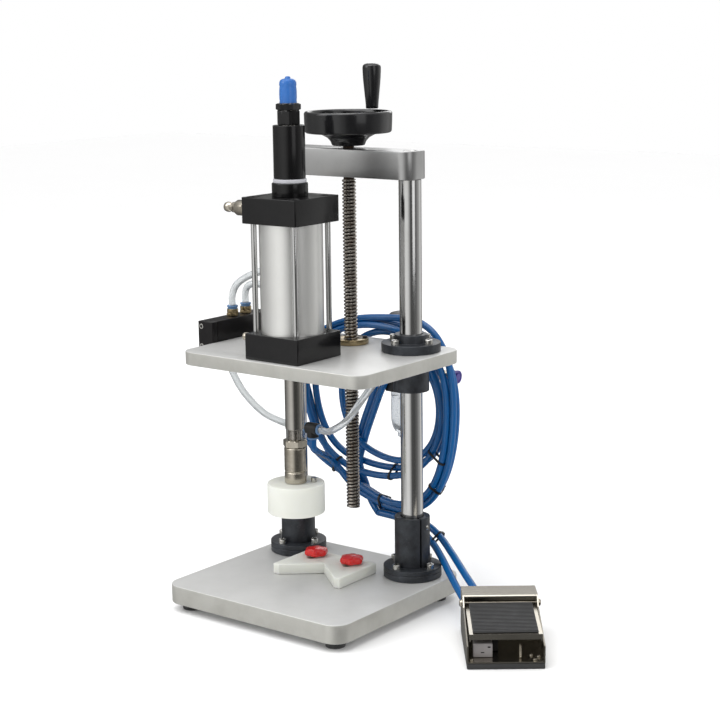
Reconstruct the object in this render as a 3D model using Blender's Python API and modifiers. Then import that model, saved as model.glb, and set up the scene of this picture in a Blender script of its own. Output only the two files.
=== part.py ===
"""Bench capping machine: air cylinder on a screw-adjusted plate, with a foot pedal on hoses.

Metres, +Z up. The origin is the middle of the base plate's top face, where the bottle stands.
The machine's front faces -Y.
"""
import math

import bmesh
import bpy
from mathutils import Matrix, Vector

GAP = 0.0003  # clearance kept between touching pieces
SIDES = 32  # facets around a turned piece

BASE_WIDTH = 0.250
BASE_DEPTH = 0.230
BASE_THICK = 0.0209
BASE_CORNER = 0.020
FOOT_HEIGHT = 0.0095
FOOT_RADIUS = 0.0118
FOOT_INSET = 0.0218
CENTRE_RING = (0.0090, 0.0098)  # inner and outer radius of the scribed ring at the plate's middle
CENTRE_RING_DEPTH = 0.0004
FLOOR_Z = -BASE_THICK - FOOT_HEIGHT

COLUMN_X = 0.084
COLUMN_Y = 0.073
COLUMN_RADIUS = 0.0125
FLANGE_RADIUS = 0.033
FLANGE_THICK = 0.013
HUB_RADIUS = 0.020
BASE_HUB_HEIGHT = 0.070

BEAM_BOTTOM = 0.450
BEAM_HEIGHT = 0.0307
BEAM_WIDTH = 0.194
BEAM_DEPTH = 0.040
BEAM_CORNER = 0.015

LIFT_BOTTOM = 0.2448
LIFT_THICK = 0.015
LIFT_TOP = LIFT_BOTTOM + LIFT_THICK
LIFT_WIDTH = 0.256
LIFT_X = -0.0025
LIFT_FRONT = -0.0737
LIFT_BACK = 0.1145
LIFT_CORNER = 0.018
LIFT_HUB_BOTTOM = 0.2150
LIFT_COLLAR_TOP = 0.2790
COLLAR_RADIUS = 0.0185

SCREW_X = 0.0012
SCREW_Y = 0.0712
SCREW_RADIUS = 0.0078
SCREW_BOTTOM = 0.067
NUT_FLANGE_RADIUS = 0.0200
NUT_FLANGE_THICK = 0.006
NUT_BODY_RADIUS = 0.0135
NUT_BOTTOM = 0.238

WHEEL_RADIUS = 0.0492
WHEEL_BOTTOM = 0.4975
WHEEL_TOP = 0.5215
WHEEL_HUB_BOTTOM = 0.4838
GRIP_OFFSET = (0.0050, 0.0376)
GRIP_TOP = 0.5730

AXIS_Y = -0.0300  # the press axis stands at X = 0
CAP_SIZE = 0.075
CAP_HEIGHT = 0.028
FRONT_CAP_TOP = LIFT_TOP + GAP + CAP_HEIGHT
REAR_CAP_BOTTOM = 0.4079
REAR_CAP_TOP = REAR_CAP_BOTTOM + 0.0283
BARREL_RADIUS = 0.0345
BORE_RADIUS = 0.0315
TIE_SPACING = 0.0565
TIE_RADIUS = 0.0032
TIE_NUT_RADIUS = 0.0056
ROD_RADIUS = 0.0105
TAIL_RADIUS = 0.0080
COLLAR_TOP = 0.4505
BUMPER_TOP = 0.4553
STOP_TOP = 0.5116
STOP_NUT_TOP = 0.5274
LOCK_NUT_TOP = 0.5348
ROD_CAP_TOP = 0.5630
ROD_NUT_BOTTOM = 0.1594
ROD_NUT_TOP = 0.1679
HEAD_TOP = 0.1189
HEAD_BOTTOM = 0.0854
HEAD_RADIUS = 0.0319
COUPLING_RADIUS = 0.0123

BLOCK_THICK = 0.012
BLOCK_HALF = 0.048
BLOCK_FRONT = -0.016
BLOCK_BACK = 0.052
KNOB_X = 0.026
KNOB_Y = 0.035
KNOB_RADIUS = 0.0140

VALVE_LEFT = -0.1528
VALVE_RIGHT = LIFT_X - LIFT_WIDTH / 2 - GAP
VALVE_FRONT = -0.017
VALVE_BACK = 0.085
VALVE_BOTTOM = 0.2486
VALVE_TOP = 0.2836
VALVE_X = (VALVE_LEFT + VALVE_RIGHT) / 2
VALVE_PORTS_Y = (0.0306, 0.0537)

REGULATOR_X = 0.016
REGULATOR_Y = 0.152
REGULATOR_HALF = 0.017
REGULATOR_BOTTOM = 0.1925
REGULATOR_TOP = 0.2400
BOWL_BOTTOM = 0.1370
PORT_Z = 0.2170

HOSE_RADIUS = 0.0040
COIL_CENTRE = (-0.0045, 0.125, 0.166)
COIL_OUTER = 0.113
COIL_INNER = 0.099
COIL_HALF_DEPTH = 0.0065
TEE = (-0.012, 0.016, 0.169)

PEDAL_PLACE = (0.2865, -0.0445, FLOOR_Z)
PEDAL_YAW = math.radians(37.5)
PEDAL_WIDTH = 0.080
PEDAL_LENGTH = 0.116
PEDAL_SHEET = 0.0015
PEDAL = Matrix.Translation(PEDAL_PLACE) @ Matrix.Rotation(PEDAL_YAW, 4, "Z")
HOSE_ENTRY_Z = 0.0204

COLORS = {
    "painted_plate": ((0.58, 0.58, 0.57), 0.45, 0.1),
    "plate_edge": ((0.42, 0.42, 0.39), 0.45, 0.1),
    "black_steel": ((0.05, 0.053, 0.06), 0.45, 0.7),
    "chrome": ((0.72, 0.71, 0.69), 0.15, 1.0),
    "brushed_aluminium": ((0.45, 0.45, 0.45), 0.35, 1.0),
    "barrel_aluminium": ((0.60, 0.60, 0.59), 0.4, 1.0),
    "black_anodised": ((0.022, 0.021, 0.022), 0.4, 0.4),
    "screw_steel": ((0.13, 0.11, 0.10), 0.4, 0.9),
    "brass": ((0.45, 0.36, 0.18), 0.35, 1.0),
    "nickel": ((0.50, 0.46, 0.40), 0.28, 1.0),
    "bakelite": ((0.015, 0.015, 0.017), 0.18, 0.0),
    "nylon": ((0.80, 0.80, 0.76), 0.45, 0.0),
    "blue_cap": ((0.03, 0.17, 0.62), 0.4, 0.0),
    "bumper": ((0.50, 0.50, 0.52), 0.4, 0.3),
    "red_plastic": ((0.68, 0.02, 0.02), 0.4, 0.0),
    "black_rubber": ((0.03, 0.03, 0.03), 0.8, 0.0),
    "black_plastic": ((0.02, 0.02, 0.02), 0.4, 0.0),
    "clear_bowl": ((0.75, 0.77, 0.78), 0.15, 0.0),
    "clear_hose": ((0.78, 0.78, 0.76), 0.25, 0.0),
    "blue_hose": ((0.005, 0.09, 0.38), 0.25, 0.0),
    "pedal_nickel": ((0.42, 0.38, 0.33), 0.35, 1.0),
}


def clear_scene():
    for old in list(bpy.data.objects):
        bpy.data.objects.remove(old, do_unlink=True)


def make_collection(name):
    collection = bpy.data.collections.new(name)
    bpy.context.scene.collection.children.link(collection)
    return collection


def make_materials():
    made = {}
    for name, (color, roughness, metallic) in COLORS.items():
        material = bpy.data.materials.new(name)
        material.use_nodes = True
        shader = material.node_tree.nodes["Principled BSDF"]
        shader.inputs["Base Color"].default_value = (*color, 1.0)
        shader.inputs["Roughness"].default_value = roughness
        shader.inputs["Metallic"].default_value = metallic
        made[name] = material
    return made


clear_scene()
PARTS = make_collection("capping_machine")
CUTTERS = make_collection("cutters")
MATERIALS = make_materials()


def finish_object(obj, name, material, place=(0.0, 0.0, 0.0)):
    """Name the object, give it its material and its place, and file it with the parts."""
    obj.name = name
    obj.location = place
    obj.data.materials.clear()
    obj.data.materials.append(MATERIALS[material])
    for holder in list(obj.users_collection):
        holder.objects.unlink(obj)
    PARTS.objects.link(obj)
    return obj


def bevel(obj, width, segments=2, angle=35.0):
    edge = obj.modifiers.new("edge", "BEVEL")
    edge.width = width
    edge.segments = segments
    edge.limit_method = "ANGLE"
    edge.angle_limit = math.radians(angle)
    return obj


def box_mesh(name, size):
    mesh = bpy.data.meshes.new(name)
    shape = bmesh.new()
    bmesh.ops.create_cube(shape, size=1.0)
    bmesh.ops.scale(shape, vec=size, verts=shape.verts)
    shape.to_mesh(mesh)
    shape.free()
    return mesh


def box(name, material, low, high, edge=0.0):
    """A box between two corners, with its outer edges rounded."""
    size = [b - a for a, b in zip(low, high)]
    centre = [(a + b) / 2 for a, b in zip(low, high)]
    obj = bpy.data.objects.new(name, box_mesh(name, size))
    finish_object(obj, name, material, centre)
    if edge:
        bevel(obj, edge)
    return obj


def turned_object(name, profile, sides=SIDES, closed=False):
    """A body turned about its own Z from (radius, height) points, listed down the outer side."""
    mesh = bpy.data.meshes.new(name)
    points = [(radius, 0.0, height) for radius, height in profile]
    links = [(i, i + 1) for i in range(len(points) - 1)]
    if closed:
        links.append((len(points) - 1, 0))
    mesh.from_pydata(points, links, [])
    obj = bpy.data.objects.new(name, mesh)
    turn = obj.modifiers.new("turn", "SCREW")
    turn.axis = "Z"
    turn.angle = math.tau
    turn.steps = sides
    turn.render_steps = sides
    turn.use_merge_vertices = True
    turn.merge_threshold = 0.00001
    turn.use_smooth_shade = True
    return obj


def turned(name, material, place, profile, sides=SIDES, closed=False):
    obj = turned_object(name, profile, sides, closed)
    return finish_object(obj, name, material, place)


def ring(name, material, place, outer, inner, low, high, sides=SIDES):
    """A plain ring with square edges between two heights."""
    profile = [(outer, high), (outer, low), (inner, low), (inner, high)]
    return turned(name, material, place, profile, sides, closed=True)


def rounded_rectangle(low, high, radius, steps=6):
    """Outline points of a rectangle with round corners, anticlockwise."""
    points = []
    corners = [
        (high[0] - radius, low[1] + radius, -90),
        (high[0] - radius, high[1] - radius, 0),
        (low[0] + radius, high[1] - radius, 90),
        (low[0] + radius, low[1] + radius, 180),
    ]
    for x, y, start in corners:
        for step in range(steps + 1):
            angle = math.radians(start + 90 * step / steps)
            points.append((x + radius * math.cos(angle), y + radius * math.sin(angle)))
    return points


def circle(x, y, radius, sides=SIDES):
    """Outline points of a round hole, clockwise."""
    points = []
    for step in range(sides):
        angle = -math.tau * step / sides
        points.append((x + radius * math.cos(angle), y + radius * math.sin(angle)))
    return points


def slot_outline(x, low, high, radius, steps=6):
    """Outline points of a slot along Y whose round ends are centred on low and high."""
    points = []
    for y, start in ((high, 180), (low, 0)):
        for step in range(steps + 1):
            angle = math.radians(start - 180 * step / steps)
            points.append((x + radius * math.cos(angle), y + radius * math.sin(angle)))
    return points


def plate(name, material, outlines, bottom, thick, edge=0.0):
    """A flat plate from its outline and its holes, made a mesh so that its edges can be rounded."""
    curve = bpy.data.curves.new(name, "CURVE")
    curve.dimensions = "2D"
    curve.fill_mode = "BOTH"
    curve.extrude = thick / 2
    for outline in outlines:
        spline = curve.splines.new("POLY")
        spline.points.add(len(outline) - 1)
        spline.use_cyclic_u = True
        for point, (x, y) in zip(spline.points, outline):
            point.co = (x, y, 0.0, 1.0)
    flat = bpy.data.objects.new(name + "_outline", curve)
    obj = mesh_from_curve(flat, name)
    finish_object(obj, name, material, (0.0, 0.0, bottom + thick / 2))
    if edge:
        bevel(obj, edge, segments=1, angle=60.0)
    return obj


def mesh_from_curve(flat, name):
    """Turn a curve object into a mesh object with welded caps, and remove the curve."""
    PARTS.objects.link(flat)
    bpy.context.view_layer.update()
    graph = bpy.context.evaluated_depsgraph_get()
    mesh = bpy.data.meshes.new_from_object(flat.evaluated_get(graph))
    shape = bmesh.new()
    shape.from_mesh(mesh)
    bmesh.ops.remove_doubles(shape, verts=shape.verts, dist=0.00001)
    shape.to_mesh(mesh)
    shape.free()
    obj = bpy.data.objects.new(name, mesh)
    obj.matrix_world = flat.matrix_world.copy()
    bpy.data.objects.remove(flat, do_unlink=True)
    return obj


def add_cutter(cutter):
    cutter.hide_render = True
    cutter.display_type = "WIRE"
    for holder in list(cutter.users_collection):
        holder.objects.unlink(cutter)
    CUTTERS.objects.link(cutter)
    return cutter


def cut(obj, cutter, operation="DIFFERENCE"):
    change = obj.modifiers.new(operation.lower(), "BOOLEAN")
    change.operation = operation
    change.solver = "EXACT"
    change.object = add_cutter(cutter)
    return obj


def box_cutter(name, low, high):
    size = [b - a for a, b in zip(low, high)]
    cutter = bpy.data.objects.new(name, box_mesh(name, size))
    cutter.location = [(a + b) / 2 for a, b in zip(low, high)]
    return cutter


def smooth_path(route, step):
    """Points at an even step along a smooth curve through the route's points."""
    route = [Vector(point) for point in route]
    ends = [route[0] * 2 - route[1]] + route + [route[-1] * 2 - route[-2]]
    dense = []
    for a, b, c, d in zip(ends, ends[1:], ends[2:], ends[3:]):
        for part in range(24):
            t = part / 24
            dense.append(
                0.5 * (2 * b + (c - a) * t + (2 * a - 5 * b + 4 * c - d) * t ** 2
                       + (3 * b - a - 3 * c + d) * t ** 3)
            )
    dense.append(route[-1])
    lengths = [0.0]
    for a, b in zip(dense, dense[1:]):
        lengths.append(lengths[-1] + (b - a).length)
    count = max(3, round(lengths[-1] / step))
    even = [lengths[-1] * index / count for index in range(count + 1)]
    square_end = 0.0012  # a short first and last piece keeps each end square to its socket
    targets = [0.0, square_end] + even[1:-1] + [lengths[-1] - square_end, lengths[-1]]
    points = []
    place = 0
    for target in targets:
        while place < len(lengths) - 2 and lengths[place + 1] < target:
            place += 1
        span = lengths[place + 1] - lengths[place]
        points.append(dense[place].lerp(dense[place + 1], (target - lengths[place]) / span))
    return points


def hose(name, material, route):
    """A plain tube along a smooth curve through the route's points."""
    points = smooth_path(route, HOSE_RADIUS * 2 * 2.6)
    curve = bpy.data.curves.new(name, "CURVE")
    curve.dimensions = "3D"
    curve.bevel_depth = HOSE_RADIUS
    curve.bevel_resolution = 2
    curve.use_fill_caps = True
    spline = curve.splines.new("POLY")
    spline.points.add(len(points) - 1)
    for point, co in zip(spline.points, points):
        point.co = (*co, 1.0)
    obj = bpy.data.objects.new(name, curve)
    return finish_object(obj, name, material)


def pedal_point(x, y, z):
    """A point of the pedal's own frame in the machine's frame."""
    return tuple(PEDAL @ Vector((x, y, z)))


def lay_along(obj, direction):
    """Turn a piece that was made along +Z to point along the direction."""
    obj.rotation_euler = Vector(direction).to_track_quat("Z", "Y").to_euler()
    return obj


# ---------------------------------------------------------------- base and columns

def make_base():
    low = (-BASE_WIDTH / 2, -BASE_DEPTH / 2)
    high = (BASE_WIDTH / 2, BASE_DEPTH / 2)
    outline = rounded_rectangle(low, high, BASE_CORNER)
    base = plate("base_plate", "painted_plate", [outline], -BASE_THICK, BASE_THICK, edge=0.0008)
    inner, outer = CENTRE_RING
    groove = [
        (outer, 0.001),
        (outer, -CENTRE_RING_DEPTH),
        (inner, -CENTRE_RING_DEPTH),
        (inner, 0.001),
    ]
    cut(base, turned_object("centre_ring", groove, closed=True))
    foot_profile = [
        (0.0, 0.0),
        (FOOT_RADIUS * 0.9, 0.0),
        (FOOT_RADIUS, -FOOT_HEIGHT * 0.5),
        (FOOT_RADIUS * 0.93, -FOOT_HEIGHT + GAP),
        (0.0, -FOOT_HEIGHT + GAP),
    ]
    for side, x in (("left", low[0] + FOOT_INSET), ("right", high[0] - FOOT_INSET)):
        for end, y in (("front", low[1] + FOOT_INSET), ("back", high[1] - FOOT_INSET)):
            place = (x, y, -BASE_THICK - GAP)
            turned(f"foot_{end}_{side}", "black_rubber", place, foot_profile, sides=20)


def make_columns():
    bore = COLUMN_RADIUS + GAP
    base_flange = [
        (HUB_RADIUS - 0.001, BASE_HUB_HEIGHT),
        (HUB_RADIUS, BASE_HUB_HEIGHT - 0.001),
        (HUB_RADIUS, FLANGE_THICK),
        (FLANGE_RADIUS - 0.001, FLANGE_THICK),
        (FLANGE_RADIUS, FLANGE_THICK - 0.001),
        (FLANGE_RADIUS, GAP),
        (bore, GAP),
        (bore, BASE_HUB_HEIGHT),
    ]
    for side, x in (("left", -COLUMN_X), ("right", COLUMN_X)):
        place = (x, COLUMN_Y, 0.0)
        turned(f"base_flange_{side}", "black_steel", place, base_flange, closed=True)
        shaft = [
            (0.0, BEAM_BOTTOM - GAP),
            (COLUMN_RADIUS, BEAM_BOTTOM - GAP),
            (COLUMN_RADIUS, GAP),
            (0.0, GAP),
        ]
        turned(f"column_{side}", "chrome", place, shaft)


def make_beam():
    low = (-BEAM_WIDTH / 2, COLUMN_Y - BEAM_DEPTH / 2)
    high = (BEAM_WIDTH / 2, COLUMN_Y + BEAM_DEPTH / 2)
    outline = rounded_rectangle(low, high, BEAM_CORNER)
    bore = circle(SCREW_X, SCREW_Y, SCREW_RADIUS + GAP, sides=24)
    plate("top_beam", "brushed_aluminium", [outline, bore], BEAM_BOTTOM, BEAM_HEIGHT, edge=0.0008)


# ---------------------------------------------------------------- lifting screw

def make_screw():
    place = (SCREW_X, SCREW_Y, 0.0)
    seat = 0.0062
    shaft = [
        (0.0, WHEEL_TOP - 0.010),
        (seat, WHEEL_TOP - 0.010),
        (seat, WHEEL_HUB_BOTTOM - 0.0003),
        (SCREW_RADIUS, WHEEL_HUB_BOTTOM - 0.0003),
        (SCREW_RADIUS, SCREW_BOTTOM + 0.0015),
        (SCREW_RADIUS - 0.0015, SCREW_BOTTOM),
        (0.0, SCREW_BOTTOM),
    ]
    turned("lead_screw", "screw_steel", place, shaft, sides=24)
    wheel = [
        (WHEEL_RADIUS - 0.004, WHEEL_TOP),
        (WHEEL_RADIUS - 0.001, WHEEL_TOP - 0.001),
        (WHEEL_RADIUS, WHEEL_TOP - 0.004),
        (WHEEL_RADIUS, WHEEL_BOTTOM + 0.002),
        (WHEEL_RADIUS - 0.002, WHEEL_BOTTOM),
        (0.0260, WHEEL_BOTTOM - 0.001),
        (0.0215, WHEEL_BOTTOM - 0.004),
        (0.0185, WHEEL_BOTTOM - 0.008),
        (0.0185, WHEEL_HUB_BOTTOM + 0.002),
        (0.0170, WHEEL_HUB_BOTTOM),
        (seat + GAP, WHEEL_HUB_BOTTOM),
        (seat + GAP, WHEEL_TOP - 0.009),
        (0.0150, WHEEL_TOP - 0.009),
        (0.0180, WHEEL_TOP - 0.016),
        (0.0280, WHEEL_TOP - 0.017),
        (0.0290, WHEEL_TOP - 0.003),
        (0.0300, WHEEL_TOP - 0.001),
    ]
    turned("handwheel", "bakelite", place, wheel, sides=40, closed=True)
    grip = [
        (0.0, GRIP_TOP),
        (0.0080, GRIP_TOP - 0.0004),
        (0.0104, GRIP_TOP - 0.0025),
        (0.0102, GRIP_TOP - 0.0250),
        (0.0088, GRIP_TOP - 0.0380),
        (0.0072, WHEEL_TOP + 0.0010),
        (0.0, WHEEL_TOP + 0.0010),
    ]
    spot = (SCREW_X + GRIP_OFFSET[0], SCREW_Y + GRIP_OFFSET[1], 0.0)
    turned("handwheel_grip", "bakelite", spot, grip, sides=24)


# ---------------------------------------------------------------- lifting plate

def make_lift_plate():
    low = (LIFT_X - LIFT_WIDTH / 2, LIFT_FRONT)
    high = (LIFT_X + LIFT_WIDTH / 2, LIFT_BACK)
    outlines = [
        rounded_rectangle(low, high, LIFT_CORNER),
        circle(-COLUMN_X, COLUMN_Y, HUB_RADIUS + GAP),
        circle(COLUMN_X, COLUMN_Y, HUB_RADIUS + GAP),
        circle(SCREW_X, SCREW_Y, NUT_BODY_RADIUS + GAP),
        circle(0.0, AXIS_Y, ROD_RADIUS + 0.002),
    ]
    plate("lift_plate", "painted_plate", outlines, LIFT_BOTTOM, LIFT_THICK, edge=0.0006)
    bore = COLUMN_RADIUS + GAP
    flange = [
        (COLLAR_RADIUS - 0.001, LIFT_COLLAR_TOP),
        (COLLAR_RADIUS, LIFT_COLLAR_TOP - 0.001),
        (COLLAR_RADIUS, LIFT_TOP + 0.010),
        (FLANGE_RADIUS - 0.001, LIFT_TOP + 0.010),
        (FLANGE_RADIUS, LIFT_TOP + 0.009),
        (FLANGE_RADIUS, LIFT_TOP + GAP),
        (HUB_RADIUS, LIFT_TOP + GAP),
        (HUB_RADIUS, LIFT_HUB_BOTTOM + 0.001),
        (HUB_RADIUS - 0.001, LIFT_HUB_BOTTOM),
        (bore, LIFT_HUB_BOTTOM),
        (bore, LIFT_COLLAR_TOP),
    ]
    for side, x in (("left", -COLUMN_X), ("right", COLUMN_X)):
        turned(f"guide_flange_{side}", "black_steel", (x, COLUMN_Y, 0.0), flange, closed=True)
    nut_top = LIFT_TOP + GAP + NUT_FLANGE_THICK
    nut = [
        (NUT_BODY_RADIUS - 0.001, nut_top + 0.003),
        (NUT_BODY_RADIUS, nut_top),
        (NUT_FLANGE_RADIUS - 0.0005, nut_top),
        (NUT_FLANGE_RADIUS, nut_top - 0.0005),
        (NUT_FLANGE_RADIUS, LIFT_TOP + GAP),
        (NUT_BODY_RADIUS, LIFT_TOP + GAP),
        (NUT_BODY_RADIUS, NUT_BOTTOM),
        (SCREW_RADIUS + GAP, NUT_BOTTOM),
        (SCREW_RADIUS + GAP, nut_top + 0.003),
    ]
    turned("screw_nut", "brass", (SCREW_X, SCREW_Y, 0.0), nut, closed=True)


# ---------------------------------------------------------------- air cylinder

def cap_outline():
    half = CAP_SIZE / 2
    return rounded_rectangle((-half, AXIS_Y - half), (half, AXIS_Y + half), 0.003, steps=3)


def tie_places():
    half = TIE_SPACING / 2
    for depth, y in (("front", AXIS_Y - half), ("back", AXIS_Y + half)):
        for side, x in (("left", -half), ("right", half)):
            yield f"tie_rod_{depth}_{side}", x, y


def make_cylinder():
    axis = (0.0, AXIS_Y, 0.0)
    bore = circle(0.0, AXIS_Y, ROD_RADIUS + GAP)
    front_bottom = LIFT_TOP + GAP
    plate("front_cap", "black_anodised", [cap_outline(), bore], front_bottom, CAP_HEIGHT, edge=0.0008)
    rear = plate(
        "rear_cap", "black_anodised", [cap_outline(), bore], REAR_CAP_BOTTOM,
        REAR_CAP_TOP - REAR_CAP_BOTTOM, edge=0.0008,
    )
    collar = [
        (0.0192, COLLAR_TOP),
        (0.0195, COLLAR_TOP - 0.0006),
        (0.0195, REAR_CAP_TOP - 0.002),
        (ROD_RADIUS + GAP, REAR_CAP_TOP - 0.002),
        (ROD_RADIUS + GAP, COLLAR_TOP),
    ]
    boss = turned_object("rear_boss", collar, closed=True)
    boss.location = axis
    cut(rear, boss, "UNION")
    recess_floor = REAR_CAP_TOP - 0.009
    for name, x, y in tie_places():
        well = [
            (0.0, REAR_CAP_TOP + 0.005),
            (0.0075, REAR_CAP_TOP + 0.005),
            (0.0075, recess_floor),
            (TIE_RADIUS + GAP, recess_floor),
            (TIE_RADIUS + GAP, REAR_CAP_BOTTOM - 0.005),
            (0.0, REAR_CAP_BOTTOM - 0.005),
        ]
        cutter = turned_object(f"well_{name}", well, sides=16)
        cutter.location = (x, y, 0.0)
        cut(rear, cutter)
        rod = [
            (0.0, recess_floor + 0.0085),
            (TIE_RADIUS, recess_floor + 0.0085),
            (TIE_RADIUS, recess_floor + 0.0060),
            (TIE_NUT_RADIUS, recess_floor + 0.0060),
            (TIE_NUT_RADIUS, recess_floor + GAP),
            (TIE_RADIUS, recess_floor + GAP),
            (TIE_RADIUS, FRONT_CAP_TOP + GAP),
            (0.0, FRONT_CAP_TOP + GAP),
        ]
        turned(name, "chrome", (x, y, 0.0), rod, sides=16)
    barrel_low = FRONT_CAP_TOP + GAP
    barrel_high = REAR_CAP_BOTTOM - GAP
    ring("barrel", "barrel_aluminium", axis, BARREL_RADIUS, BORE_RADIUS, barrel_low, barrel_high, sides=48)
    ring("bumper_ring", "bumper", axis, 0.0180, 0.0112, COLLAR_TOP + GAP, BUMPER_TOP - GAP)


def hex_nut(name, material, radius, low, high):
    """A hexagon nut on the press axis with a round hole for the rod's thread."""
    hexagon = [(x, y) for x, y in reversed(circle(0.0, AXIS_Y, radius, sides=6))]
    hole = circle(0.0, AXIS_Y, TAIL_RADIUS + GAP)
    return plate(name, material, [hexagon, hole], low, high - low)


def make_piston():
    axis = (0.0, AXIS_Y, 0.0)
    piston_low = FRONT_CAP_TOP + 0.006
    piston_high = piston_low + 0.022
    ring("piston", "black_rubber", axis, BORE_RADIUS - GAP, ROD_RADIUS + GAP, piston_low, piston_high)
    rod = [
        (0.0, ROD_CAP_TOP - 0.008),
        (TAIL_RADIUS, ROD_CAP_TOP - 0.008),
        (TAIL_RADIUS, BUMPER_TOP + 0.004),
        (ROD_RADIUS, BUMPER_TOP + 0.004),
        (ROD_RADIUS, ROD_NUT_TOP + 0.012),
        (TAIL_RADIUS, ROD_NUT_TOP + 0.011),
        (TAIL_RADIUS, HEAD_TOP + 0.014),
        (0.0, HEAD_TOP + 0.014),
    ]
    turned("piston_rod", "chrome", axis, rod)
    hole = TAIL_RADIUS + GAP
    hex_nut("rod_nut", "brass", 0.0140, ROD_NUT_BOTTOM + GAP, ROD_NUT_TOP)
    coupling = [
        (0.0, HEAD_TOP + 0.0135),
        (hole, HEAD_TOP + 0.0135),
        (hole, ROD_NUT_BOTTOM),
        (COUPLING_RADIUS - 0.0006, ROD_NUT_BOTTOM),
        (COUPLING_RADIUS, ROD_NUT_BOTTOM - 0.0006),
        (COUPLING_RADIUS, HEAD_TOP + GAP),
        (0.0082, HEAD_TOP + GAP),
        (0.0082, HEAD_BOTTOM + 0.010),
        (0.0, HEAD_BOTTOM + 0.010),
    ]
    turned("rod_coupling", "nickel", axis, coupling)
    head = [
        (0.0, HEAD_BOTTOM + 0.0097),
        (0.0085, HEAD_BOTTOM + 0.0097),
        (0.0085, HEAD_TOP),
        (HEAD_RADIUS - 0.0045, HEAD_TOP),
        (HEAD_RADIUS - 0.0013, HEAD_TOP - 0.0013),
        (HEAD_RADIUS, HEAD_TOP - 0.0045),
        (HEAD_RADIUS, HEAD_BOTTOM + 0.0015),
        (HEAD_RADIUS - 0.0015, HEAD_BOTTOM),
        (0.0, HEAD_BOTTOM),
    ]
    turned("press_head", "nylon", axis, head, sides=40)
    stop = [
        (0.0165, STOP_TOP),
        (0.0172, STOP_TOP - 0.0007),
        (0.0172, BUMPER_TOP + 0.0007),
        (0.0165, BUMPER_TOP),
        (ROD_RADIUS + GAP, BUMPER_TOP),
        (ROD_RADIUS + GAP, BUMPER_TOP + 0.0045),
        (hole, BUMPER_TOP + 0.0045),
        (hole, STOP_TOP),
    ]
    turned("stop_sleeve", "black_anodised", axis, stop, closed=True)
    hex_nut("stop_nut", "black_anodised", 0.0136, STOP_TOP + GAP, LOCK_NUT_TOP - GAP)
    cap = [
        (0.0, ROD_CAP_TOP),
        (0.0025, ROD_CAP_TOP - 0.0004),
        (0.0060, ROD_CAP_TOP - 0.0022),
        (0.0084, ROD_CAP_TOP - 0.0042),
        (0.0093, ROD_CAP_TOP - 0.0068),
        (0.0093, LOCK_NUT_TOP + 0.0045),
        (0.0086, LOCK_NUT_TOP),
        (hole, LOCK_NUT_TOP),
        (hole, ROD_CAP_TOP - 0.0075),
        (0.0, ROD_CAP_TOP - 0.0075),
    ]
    turned("rod_cap", "blue_cap", axis, cap, sides=24)


def make_port_fitting():
    """The fitting on the rear cap's left face, laid along -X."""
    face = -CAP_SIZE / 2 - GAP
    top = [
        (0.0, 0.0560),
        (0.0045, 0.0555),
        (0.0064, 0.0520),
        (0.0064, 0.0470),
        (0.0048, 0.0440),
        (0.0072, 0.0430),
        (0.0072, 0.0390),
        (0.0082, 0.0370),
        (0.0090, 0.0200),
        (0.0090, 0.0),
        (0.0, 0.0),
    ]
    upper = turned("port_fitting_top", "nickel", (face, AXIS_Y, 0.4195), top, sides=16)
    lay_along(upper, (-1, 0, 0))


# ---------------------------------------------------------------- valve, regulator and hoses

def make_valve():
    low = (VALVE_LEFT, VALVE_FRONT, VALVE_BOTTOM)
    high = (VALVE_RIGHT, VALVE_BACK, VALVE_TOP)
    box("air_valve", "black_anodised", low, high, edge=0.0008)
    fitting = [
        (0.0, 0.0120),
        (0.0046, 0.0120),
        (0.0062, 0.0112),
        (0.0062, 0.0085),
        (0.0052, 0.0080),
        (0.0066, 0.0070),
        (0.0066, 0.0),
        (0.0, 0.0),
    ]
    for name, y in zip(("valve_fitting_front", "valve_fitting_back"), VALVE_PORTS_Y):
        turned(name, "brass", (VALVE_X, y, VALVE_TOP + GAP), fitting, sides=16)


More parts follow.
